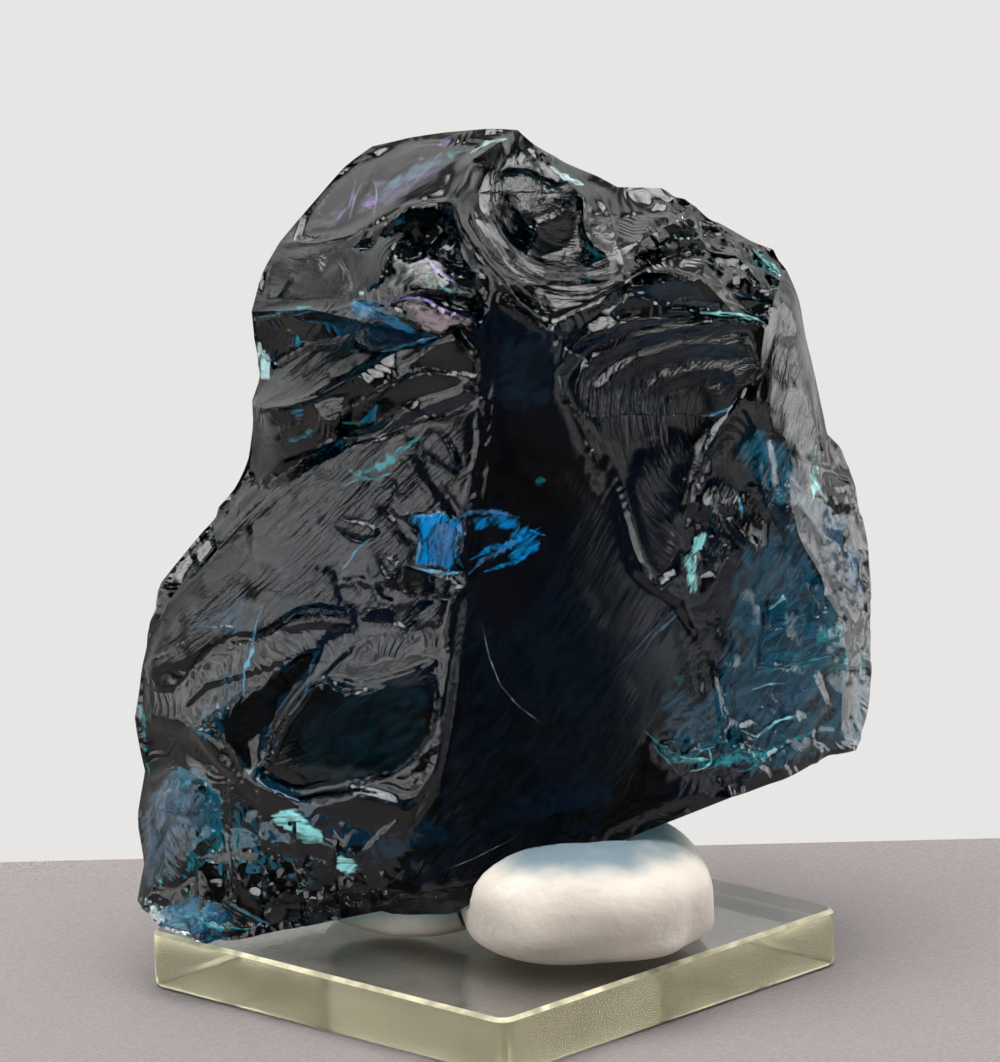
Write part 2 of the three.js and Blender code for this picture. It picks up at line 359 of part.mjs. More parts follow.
// The facet's own plane: middle, two axes and the outward normal.
function planeOf(points, heart) {
  const middle = new THREE.Vector3();
  const normal = new THREE.Vector3();
  points.forEach((p, i) => {
    middle.addScaledVector(p, 1 / points.length);
    normal.add(new THREE.Vector3().crossVectors(p, points[(i + 1) % points.length]));
  });
  normal.normalize();
  const turned = normal.dot(middle.clone().sub(heart)) < 0;
  if (turned) normal.negate();
  const across = Math.abs(normal.z) < 0.9 ? new THREE.Vector3(0, 0, 1) : new THREE.Vector3(1, 0, 0);
  const e1 = new THREE.Vector3().crossVectors(across, normal).normalize();
  const e2 = new THREE.Vector3().crossVectors(normal, e1);
  return { middle, normal, e1, e2, turned };
}

const area2 = (a, b, c) => (b.x - a.x) * (c.y - a.y) - (b.y - a.y) * (c.x - a.x);

// Cuts a flat outline into triangles by its roundest ears, so that every outline point is kept.
function ears(flat) {
  const left = flat.map((_, i) => i);
  const faces = [];
  while (left.length > 3) {
    let best = -1;
    let bestShape = -Infinity;
    for (let i = 0; i < left.length; i++) {
      const [a, b, c] = [left.at(i - 1), left[i], left[(i + 1) % left.length]];
      const size = area2(flat[a], flat[b], flat[c]);
      if (size <= 1e-9) continue;
      const clear = left.every((j) => j === a || j === b || j === c ||
        area2(flat[a], flat[b], flat[j]) < 0 || area2(flat[b], flat[c], flat[j]) < 0 ||
        area2(flat[c], flat[a], flat[j]) < 0);
      if (!clear) continue;
      const shape = size / flat[a].distanceToSquared(flat[c]);
      if (shape > bestShape) [best, bestShape] = [i, shape];
    }
    if (best < 0) throw new Error("a facet's outline crosses itself");
    faces.push([left.at(best - 1), left[best], left[(best + 1) % left.length]]);
    left.splice(best, 1);
  }
  faces.push([...left]);
  return faces;
}

const within = (flat, [a, b, c], p) =>
  area2(flat[a], flat[b], p) > 1e-9 && area2(flat[b], flat[c], p) > 1e-9 &&
  area2(flat[c], flat[a], p) > 1e-9;

function inCircle(a, b, c, p) {
  const [ax, ay, bx, by, cx, cy] = [a.x - p.x, a.y - p.y, b.x - p.x, b.y - p.y, c.x - p.x, c.y - p.y];
  const [al, bl, cl] = [ax * ax + ay * ay, bx * bx + by * by, cx * cx + cy * cy];
  return ax * (by * cl - bl * cy) - ay * (bx * cl - bl * cx) + al * (bx * cy - by * cx) > 1e-7;
}

// Turns shared diagonals until every triangle is as even as it can be.
function even(flat, faces) {
  for (let pass = 0; pass < EVEN_PASSES; pass++) {
    let turned = 0;
    const owner = new Map();
    faces.forEach((f, i) => f.forEach((a, k) => owner.set(a + "," + f[(k + 1) % 3], i)));
    const touched = new Set();
    for (const [key, i] of owner) {
      const [a, b] = key.split(",").map(Number);
      const j = owner.get(b + "," + a);
      if (j === undefined || j < i || touched.has(i) || touched.has(j)) continue;
      const c = faces[i].find((v) => v !== a && v !== b);
      const d = faces[j].find((v) => v !== a && v !== b);
      if (!inCircle(flat[a], flat[b], flat[c], flat[d])) continue;
      if (area2(flat[a], flat[d], flat[c]) <= 1e-9 || area2(flat[d], flat[b], flat[c]) <= 1e-9) continue;
      faces[i] = [a, d, c];
      faces[j] = [d, b, c];
      touched.add(i).add(j);
      turned++;
    }
    if (!turned) return;
  }
}

// Distance from a flat point to the outline.
function edgeDistance(p, outline) {
  let least = Infinity;
  outline.forEach((a, i) => {
    const b = outline[(i + 1) % outline.length];
    const ab = b.clone().sub(a);
    const t = THREE.MathUtils.clamp(p.clone().sub(a).dot(ab) / ab.lengthSq(), 0, 1);
    least = Math.min(least, p.distanceTo(a.clone().addScaledVector(ab, t)));
  });
  return least;
}

function inside(p, outline) {
  let odd = false;
  outline.forEach((a, i) => {
    const b = outline[(i + 1) % outline.length];
    if (a.y > p.y !== b.y > p.y && p.x < ((b.x - a.x) * (p.y - a.y)) / (b.y - a.y) + a.x) odd = !odd;
  });
  return odd;
}

// Points on a triangular grid inside the outline, each with its distance from it.
function fill(outline, grain) {
  const box = new THREE.Box2().setFromPoints(outline);
  const row = (grain * Math.sqrt(3)) / 2;
  const points = [];
  for (let j = 0, y = box.min.y + row / 2; y < box.max.y; y += row, j++) {
    for (let x = box.min.x + (j % 2 ? grain / 2 : 0); x < box.max.x; x += grain) {
      const p = new THREE.Vector2(x, y);
      const nudge = new THREE.Vector3(x, y, grain);
      p.x += grit(nudge, 3) * grain * GRID_JITTER;
      p.y += grit(nudge, 8) * grain * GRID_JITTER;
      if (!inside(p, outline)) continue;
      const depth = edgeDistance(p, outline);
      if (depth > grain * EDGE_MARGIN) points.push({ p, depth });
    }
  }
  return points;
}

// Heights of the inner points as a skin stretched over the outline.
function stretch(heights, faces, fixed) {
  const near = heights.map(() => new Set());
  faces.forEach((f) => f.forEach((a, k) => near[a].add(f[(k + 1) % 3]).add(f[(k + 2) % 3])));
  for (let pass = 0; pass < MEMBRANE_PASSES; pass++) {
    for (let i = fixed; i < heights.length; i++) {
      let sum = 0;
      near[i].forEach((j) => (sum += heights[j]));
      heights[i] = sum / near[i].size;
    }
  }
}

// How far a facet stands out or in at one inner point.
function relief(spot, depth, reach, { dish = DISH, wave, rough = 0 }) {
  const hollow = -dish * reach * (1 - (1 - depth / reach) ** 2);
  let rings = 0;
  if (wave) {
    const struck = place([wave[0], wave[1], spot.away]);
    const radius = Math.hypot(spot.p.x - struck.x, spot.p.z - struck.z);
    rings = wave[3] * Math.cos((2 * Math.PI * radius) / wave[2]) * Math.min(1, depth / RING_FADE);
  }
  return hollow + rings + rough * grit(spot.p, 5);
}

// One facet as a list of triangles, each three points, facing out.
function facetFaces({ names, grain, finish }, heart) {
  const outline3 = names.flatMap((a, i) => edgePoints(a, names[(i + 1) % names.length]));
  const plane = planeOf(outline3, heart);
  if (plane.turned) outline3.reverse();
  const flatten = (p) => {
    const q = p.clone().sub(plane.middle);
    return new THREE.Vector2(q.dot(plane.e1), q.dot(plane.e2));
  };
  const outline = outline3.map(flatten);
  const heights = outline3.map((p) => p.clone().sub(plane.middle).dot(plane.normal));
  const flat = [...outline];
  const faces = ears(flat);
  even(flat, faces);
  const extra = fill(outline, grain);
  for (const { p } of extra) {
    const at = faces.findIndex((f) => within(flat, f, p));
    if (at < 0) continue;
    const [a, b, c] = faces[at];
    const n = flat.push(p) - 1;
    heights.push(0);
    faces.splice(at, 1, [a, b, n], [b, c, n], [c, a, n]);
    even(flat, faces);
  }
  stretch(heights, faces, outline.length);
  const depths = flat.map((p, i) => (i < outline.length ? 0 : edgeDistance(p, outline)));
  const reach = Math.max(...depths, 0.1);
  const away = names.reduce((sum, n) => sum + corners[n][2], 0) / names.length;
  const solid = flat.map((p, i) => {
    if (i < outline.length) return outline3[i];
    const q = plane.middle.clone().addScaledVector(plane.e1, p.x).addScaledVector(plane.e2, p.y);
    const base = q.clone().addScaledVector(plane.normal, heights[i]);
    const out = heights[i] + relief({ p: base, away }, depths[i], reach, finish);
    return q.addScaledVector(plane.normal, out);
  });
  return faces.map((f) => f.map((i) => solid[i]));
}

function geometryOf(triangles) {
  const flat = triangles.flatMap((t) => t.flatMap((p) => [p.x, p.y, p.z]));
  const geometry = new THREE.BufferGeometry();
  geometry.setAttribute("position", new THREE.Float32BufferAttribute(flat, 3));
  return mergeVertices(geometry, 1e-3);
}

function chunkGeometry() {
  const heart = place([0, 42, 4]);
  const loops = facets.map(([text, finish]) => ({ names: text.split(" "), grain: finish.grain, finish }));
  planEdges(loops);
  return geometryOf(loops.flatMap((loop) => facetFaces(loop, heart)));
}

// ---- The stand ----
// A clear square slab with eased edges, its top face at height 0.
function slabGeometry() {
  const half = SLAB_SIDE / 2 - SLAB_BEVEL;
  const r = SLAB_CORNER;
  const outline = new THREE.Shape();
  outline.absarc(half - r, half - r, r, 0, Math.PI / 2);
  outline.absarc(r - half, half - r, r, Math.PI / 2, Math.PI);
  outline.absarc(r - half, r - half, r, Math.PI, 1.5 * Math.PI);
  outline.absarc(half - r, r - half, r, 1.5 * Math.PI, 2 * Math.PI);
  const geometry = new THREE.ExtrudeGeometry(outline, {
    depth: SLAB_THICK - 2 * SLAB_BEVEL,
    bevelThickness: SLAB_BEVEL,
    bevelSize: SLAB_BEVEL,
    bevelSegments: 1,
    curveSegments: 4,
  });
  geometry.translate(0, 0, SLAB_BEVEL - SLAB_THICK);
  geometry.rotateZ(rad(SLAB_TURN));
  return geometry;
}

// A lump of putty pressed flat on the slab: middle, half sizes (the last is its whole height), turn,
// how square it is, and the folds pressed into its sides.
const PUTTY_FRONT = {
  middle: [9.6, -8], half: [13, 14.4, 11.8], turn: 6, square: 2.5,
  folds: [{ from: 268, deep: 0.05, wide: 9 }, { from: 318, deep: 0.07, wide: 10 }],
  rows: 18, columns: 40,
};
const PUTTY_BACK = {
  middle: [-9.4, -1.2], half: [9.4, 6.6, 5.8], turn: -43, square: 2.4,
  folds: [{ from: 205, deep: 0.08, wide: 12 }, { from: 250, deep: 0.06, wide: 10 }],
  rows: 12, columns: 30,
};
const PUTTY_WAIST = 0.34; // share of its height at which a lump is widest
const PUTTY_FOOT = 7; // how square it is below that
const PUTTY_PLAN = 2.6; // how square it is seen from above
const PUTTY_LUMPS = 0.03; // unevenness, as a share of its half sizes
const PUTTY_BEND = 9; // length of that unevenness

// Rounded box section: 2 is an ellipse, more is squarer.
const squircle = (t, power) => Math.sign(t) * Math.abs(t) ** (2 / power);

function puttyGeometry({ middle, half, turn, square, folds, rows, columns }) {
  const geometry = new THREE.SphereGeometry(1, columns, rows);
  geometry.rotateX(Math.PI / 2);
  const points = geometry.getAttribute("position");
  const [a, b, c] = half;
  for (let i = 0; i < points.count; i++) {
    const p = new THREE.Vector3().fromBufferAttribute(points, i);
    const around = (THREE.MathUtils.radToDeg(Math.atan2(p.y, p.x)) + 360) % 360;
    const girth = Math.hypot(p.x, p.y);
    let pinch = 1;
    folds.forEach(({ from, deep, wide }) => {
      const off = (((around - from + 540) % 360) - 180) / wide;
      pinch -= deep * Math.exp(-off * off) * girth;
    });
    const out = squircle(girth, p.z < 0 ? PUTTY_FOOT : square) * pinch;
    const x = a * out * squircle(Math.cos(rad(around)), PUTTY_PLAN);
    const y = b * out * squircle(Math.sin(rad(around)), PUTTY_PLAN);
    const lumps = 1 + PUTTY_LUMPS * bend(new THREE.Vector3(x, y, p.z * c), PUTTY_BEND, middle[0]);
    const rise = squircle(p.z, square);
    const z = c * (PUTTY_WAIST + (rise < 0 ? PUTTY_WAIST : 1 - PUTTY_WAIST) * rise);
    points.setXYZ(i, x * lumps, y * lumps, z);
  }
  geometry.rotateZ(rad(turn));
  geometry.translate(middle[0], middle[1], CLEAR);
  return geometry;
}

const PRINT_GAP = CLEAR * 1.3; // how far a lump's print is moved off the piece that left it

// ---- Joins and cuts ----
function solidOf(geometry) {
  const bare = geometry.clone();
  bare.deleteAttribute("normal");
  bare.deleteAttribute("uv");
  const merged = mergeVertices(bare, 1e-3);
  const vertProperties = merged.getAttribute("position").array;
  const triVerts = new Uint32Array(merged.index.array);
  return new wasm.Manifold(new wasm.Mesh({ numProp: 3, vertProperties, triVerts }));
}

function geometryFrom(solid) {
  const mesh = solid.getMesh();
  const geometry = new THREE.BufferGeometry();
  geometry.setAttribute("position", new THREE.BufferAttribute(new Float32Array(mesh.vertProperties), 3));
  geometry.setIndex(new THREE.BufferAttribute(mesh.triVerts, 1));
  return geometry;
}

// The lump takes the print of its neighbour, a clearance away along each of the given ways.
function pressed(lump, neighbour, ways) {
  let left = lump;
  ways.forEach((way) => {
    left = left.subtract(neighbour.translate(way.map((v) => v * PRINT_GAP)));
  });
  return left.decompose().sort((p, q) => q.volume() - p.volume())[0];
}

const BELOW = [[0, 0, -1], [0.7, 0, -0.7], [-0.7, 0, -0.7], [0, 0.7, -0.7], [0, -0.7, -0.7]];
const BESIDE = [[0, 0, 0], [-1, 0, 0], [0, 1, 0], [-0.7, 0.7, 0], [-0.5, 0.5, 0.7]];

// ---- The assembly ----
const glass = new THREE.MeshStandardMaterial({ color: 0x0b1a2a, roughness: 0.08, metalness: 0 });
const acrylic = new THREE.MeshStandardMaterial({ color: 0xd9d7b0, roughness: 0.12, metalness: 0 });
const putty = new THREE.MeshStandardMaterial({ color: 0xd8d5cc, roughness: 0.75, metalness: 0 });

function piece(name, geometry, material) {
  const mesh = new THREE.Mesh(geometry, material);
  mesh.name = name;
  return mesh;
}

const chunkSkin = chunkGeometry();
const chunkSolid = solidOf(chunkSkin);
const frontLump = pressed(solidOf(puttyGeometry(PUTTY_FRONT)), chunkSolid, BELOW);
const openLump = pressed(solidOf(puttyGeometry(PUTTY_BACK)), chunkSolid, BELOW);
const backLump = pressed(openLump, frontLump, BESIDE);
const group = new THREE.Group();
group.add(piece("glass_chunk", chunkSkin, glass));
group.add(piece("acrylic_base", slabGeometry(), acrylic));
group.add(piece("putty_front", geometryFrom(frontLump), putty));
group.add(piece("putty_back", geometryFrom(backLump), putty));

const whole = new THREE.Box3().setFromObject(group);
const centre = whole.getCenter(new THREE.Vector3());
group.position.set(-centre.x, -centre.y, -whole.min.z);

export default group;
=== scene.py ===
"""A chunk of dark blue slag glass on putty and a clear acrylic slab, finished for looks."""
import math
from contextlib import contextmanager
import bmesh
import bpy
import numpy as np
from mathutils import Matrix, Vector
from mathutils.bvhtree import BVHTree


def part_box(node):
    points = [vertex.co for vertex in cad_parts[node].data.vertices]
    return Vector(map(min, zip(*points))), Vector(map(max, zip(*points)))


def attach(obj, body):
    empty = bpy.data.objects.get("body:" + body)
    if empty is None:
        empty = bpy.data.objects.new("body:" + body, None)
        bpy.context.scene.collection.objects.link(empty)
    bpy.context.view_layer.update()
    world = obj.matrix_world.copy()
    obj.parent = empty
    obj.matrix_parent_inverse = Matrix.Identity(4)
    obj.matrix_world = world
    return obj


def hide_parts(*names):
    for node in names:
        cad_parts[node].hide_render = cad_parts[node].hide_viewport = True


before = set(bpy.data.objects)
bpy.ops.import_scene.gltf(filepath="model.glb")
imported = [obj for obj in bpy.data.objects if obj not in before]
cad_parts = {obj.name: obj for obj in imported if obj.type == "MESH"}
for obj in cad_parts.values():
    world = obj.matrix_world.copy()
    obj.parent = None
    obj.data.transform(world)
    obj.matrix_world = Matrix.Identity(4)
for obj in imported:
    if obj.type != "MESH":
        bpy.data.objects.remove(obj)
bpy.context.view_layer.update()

MM = 0.001
slab_low, slab_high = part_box("acrylic_base")
ORIGIN = Vector(((slab_low.x + slab_high.x) / 2, (slab_low.y + slab_high.y) / 2, slab_high.z))

# The plane of the show face: tilt and roll on the slab, and how far away its outlines are true.
TILT = math.radians(13.638)
ROLL = math.radians(1.457)
DISTANCE = 812.8  # mm from the camera
CENTRE = 42.95  # the height of its middle, in mm
SHIFT = (1.665, 40.162)  # where that middle is from ORIGIN, in mm
AHEAD = Vector((0, math.cos(TILT), -math.sin(TILT)))


def lifted(right, up, away):
    """right, up, away in mm on the show plane -> x, y, z in mm from ORIGIN, for numbers or arrays."""
    spread = 1 + away / DISTANCE
    u, w = right * spread, (up - CENTRE) * spread
    x = u * math.cos(ROLL) + w * math.sin(ROLL) + SHIFT[0]
    lift = w * math.cos(ROLL) - u * math.sin(ROLL) + SHIFT[1]
    y = lift * math.sin(TILT) + away * math.cos(TILT)
    z = lift * math.cos(TILT) - away * math.sin(TILT)
    return x, y, z


def place(right, up, away):
    """One place on the show plane -> a point in the row frame, in metres."""
    return ORIGIN + Vector(lifted(right, up, away)) * MM


def unseen(show):
    """Many places on the show plane -> points in the row frame, in metres."""
    return np.stack(lifted(*show.T), 1) * MM + np.array(ORIGIN)


def seen(co):
    """Points in the row frame -> right, up, away in mm on the show plane."""
    p = (co - np.array(ORIGIN)) / MM
    lift = p[:, 1] * math.sin(TILT) + p[:, 2] * math.cos(TILT) - SHIFT[1]
    away = p[:, 1] * math.cos(TILT) - p[:, 2] * math.sin(TILT)
    x = p[:, 0] - SHIFT[0]
    u = x * math.cos(ROLL) - lift * math.sin(ROLL)
    w = x * math.sin(ROLL) + lift * math.cos(ROLL)
    spread = 1 + away / DISTANCE
    return np.stack([u / spread, w / spread + CENTRE, away], 1)


def smooth(t):
    t = np.clip(t, 0, 1)
    return t * t * (3 - 2 * t)


# ---- Noise ----
def hashed(ix, iy, iz, seed):
    """A number from -1 to 1 for each cell of a grid, always the same one for the same cell and seed."""
    n = (ix * 374761393 + iy * 668265263 + iz * 2147483647 + seed * 974634777) & 0xFFFFFFFF
    n = ((n ^ (n >> 13)) * 1274126177) & 0xFFFFFFFF
    return ((n ^ (n >> 16)) & 0xFFFFFF) / 0xFFFFFF * 2 - 1


def noise(p, size, seed=0):
    """Smooth noise from -1 to 1 at points in mm."""
    q = p / size
    base = np.floor(q).astype(np.int64)
    share = smooth(q - base)
    total = 0
    for step in np.ndindex(2, 2, 2):
        weight = np.where(step, share, 1 - share)
        total = total + weight[:, 0] * weight[:, 1] * weight[:, 2] * hashed(*(base + step).T, seed)
    return total


# ---- Shapes on the show plane ----
def dots(*tenths):
    """An outline or a line: right and up of each point in turn, in tenths of a millimetre."""
    return [(u / 10, w / 10) for u, w in zip(tenths[::2], tenths[1::2])]


def dab(u, w, radius):
    """A small round outline, to the same tenth of a millimetre."""
    turns = [math.radians(60 * k) for k in range(6)]
    return [(round(u + radius * math.cos(a), 1), round(w - radius * math.sin(a), 1)) for a in turns]


def nearest(q, line, closed=False):
    """For flat points: distance to a line of points, the signed side, the way along it, and its length."""
    pts = np.array(line, float)
    if closed:
        pts = np.vstack([pts, pts[:1]])
    best = np.full(len(q), 1e9)
    side = np.ones(len(q))
    along = np.zeros(len(q))
    run = 0.0
    for a, b in zip(pts[:-1], pts[1:]):
        ab = b - a
        length = max(np.hypot(*ab), 1e-6)
        t = np.clip(((q - a) @ ab) / length**2, 0, 1)
        off = q - a - t[:, None] * ab
        d = np.hypot(off[:, 0], off[:, 1])
        closer = d < best
        cross = ab[0] * (q[:, 1] - a[1]) - ab[1] * (q[:, 0] - a[0])
        best = np.where(closer, d, best)
        side = np.where(closer, np.sign(cross), side)
        along = np.where(closer, run + t * length, along)
        run += length
    return best, side, along, run


def within(q, outline):
    """Signed distance in mm: above zero inside the outline."""
    inside = np.zeros(len(q), bool)
    for (ax, ay), (bx, by) in zip(outline, outline[1:] + outline[:1]):
        spans = (ay > q[:, 1]) != (by > q[:, 1])
        with np.errstate(divide="ignore", invalid="ignore"):
            cut = (bx - ax) * (q[:, 1] - ay) / (by - ay) + ax
        inside ^= spans & (q[:, 0] < cut)
    d = nearest(q, outline, True)[0]
    return np.where(inside, d, -d)


def near_box(show, front, line, margin, least):
    """Which vertices lie in the box round a line and face the show side enough."""
    pts, q = np.array(line), show[:, :2]
    inside = ((q >= pts.min(0) - margin) & (q <= pts.max(0) + margin)).all(1)
    return np.flatnonzero(inside & (front > least))


# ---- Meshes ----
@contextmanager
def editing(mesh):
    """The mesh as a bmesh; what is changed in it goes back into the mesh."""
    bm = bmesh.new()
    bm.from_mesh(mesh)
    yield bm
    bm.to_mesh(mesh)
    bm.free()


def as_mesh(bm, name):
    mesh = bpy.data.meshes.new(name)
    bm.to_mesh(mesh)
    bm.free()
    return mesh


def merged(node):
    """A solid's own mesh from the frame, with its corners joined."""
    bm = bmesh.new()
    bm.from_mesh(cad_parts[node].data)
    bmesh.ops.remove_doubles(bm, verts=bm.verts, dist=2e-6)
    bm.normal_update()
    return bm


def shown(name, data):
    """A new object in the scene, for a mesh or a camera."""
    obj = bpy.data.objects.new(name, data)
    bpy.context.scene.collection.objects.link(obj)
    return obj


def creased(bm, low, high, most=1.0):
    """Marks the edges as creases for the subdivision: none at low degrees, most at high."""
    crease = bm.edges.layers.float.new("crease_edge")
    for e in bm.edges:
        sharp = (math.degrees(e.calc_face_angle(0)) - low) / (high - low)
        e[crease] = float(smooth(sharp)) * most


def baked(mesh, name, levels):
    """The mesh after subdivision, as a new mesh."""
    obj = shown(name, mesh)
    mod = obj.modifiers.new("fine", "SUBSURF")
    mod.levels = mod.render_levels = levels
    mod.boundary_smooth = "PRESERVE_CORNERS"
    graph = bpy.context.evaluated_depsgraph_get()
    made = bpy.data.meshes.new_from_object(obj.evaluated_get(graph), depsgraph=graph)
    bpy.data.objects.remove(obj)
    made.name = name
    return made


def read(items, key, width, kind=float):
    """One property of all the vertices, edges, faces or corners, as rows of so many numbers."""
    flat = np.zeros(len(items) * width, kind)
    items.foreach_get(key, flat)
    return flat.reshape(-1, width) if width > 1 else flat


def write(mesh, name, kind, domain, values):
    """Stores numbers or vectors on a mesh, for its material to read."""
    layer = mesh.attributes.new(name, kind, domain)
    flat = np.asarray(values, np.float32).ravel()
    layer.data.foreach_set("vector" if kind == "FLOAT_VECTOR" else "value", flat)


def store(mesh, co):
    """Moves all the vertices to new places."""
    mesh.vertices.foreach_set("co", co.ravel())
    mesh.update()
    return co


def facing(mesh):
    """1 where the surface looks straight at the show side, below 0 where it is turned away."""
    return -(read(mesh.vertices, "normal", 3) @ np.array(AHEAD))


def sharpen(mesh, degrees):
    """Marks fracture edges sharp, so that faces meet there without a blurred highlight."""
    with editing(mesh) as bm:
        for e in bm.edges:
            e.smooth = e.calc_face_angle(0) < math.radians(degrees)


# ---- The chunk's mesh ----
CREASE_FROM, CREASE_TO = 10, 26  # degrees between two faces
SAME_FACET = math.radians(13)
FRACTURE = math.radians(20)  # an edge that turns more than this is a fracture edge
FRACTURE_RUN = 14  # the fewest such edges in a row that stay where they are
EVEN_TIMES, CALM_TIMES = 14, 3  # rounds of evening, before and after the calm faces are bent

# How squarely a vertex has to face the show side: 1 is straight at it, below 0 is turned away.
MARK_FACING, CALM_FACING, CRUMB_FACING = 0.02, 0.08, -0.35

# Lengths of the mesh's edges in mm: on the show side, round its rim and on the back, then on special faces.
EDGE_SHOW, EDGE_RIM, EDGE_BACK = 0.5, 0.85, 1.6
EDGE_CALM, EDGE_GREAT, EDGE_BUSY = 0.34, 0.9, 0.33
TOO_LONG = 1.4  # an edge this many times its due length is split
SPLITS = 4

CALM = [  # large clean faces: order of the bend, rim, outline
    (3, 0.4, dots(-31, 590, -17, 565, -20, 524, -29, 482, -38, 441, -46, 384, -53, 316, -60, 254, -65, 213,
        -77, 182, -98, 152, -156, 161, -207, 150, -255, 173, -247, 215, -270, 206, -296, 222, -332, 224,
        -366, 231, -368, 265, -364, 306, -342, 353, -306, 399, -270, 441, -233, 474, -192, 505, -150, 526,
        -104, 536, -73, 565)),
    (2, 0.5, dots(-8, 669, 50, 638, 81, 545, 114, 472, 143, 387, 185, 356, 205, 316, 214, 254, 156, 211,
        145, 161, 62, 99, -31, 57, -124, 41, -131, 67, -73, 161, -56, 233, -45, 316, -32, 399, -17, 493,
        -12, 565)),
    (3, 0.5, dots(54, 636, 104, 650, 207, 654, 268, 642, 273, 596, 249, 565, 223, 524, 207, 482, 197, 441,
        182, 389, 161, 372, 145, 399, 122, 482, 93, 536, 59, 571)),
    (2, 1, dots(-156, 814, -104, 835, -41, 841, -5, 835, -50, 794, -52, 773, -104, 767, -161, 735,
        -218, 725, -205, 757)),
    (2, 1, dots(-237, 721, -156, 730, -146, 679, -166, 669, -247, 658, -251, 690)),
    (2, 1, dots(282, 669, 301, 677, 320, 596, 336, 534, 311, 482, 282, 441, 255, 534, 270, 586)),
]
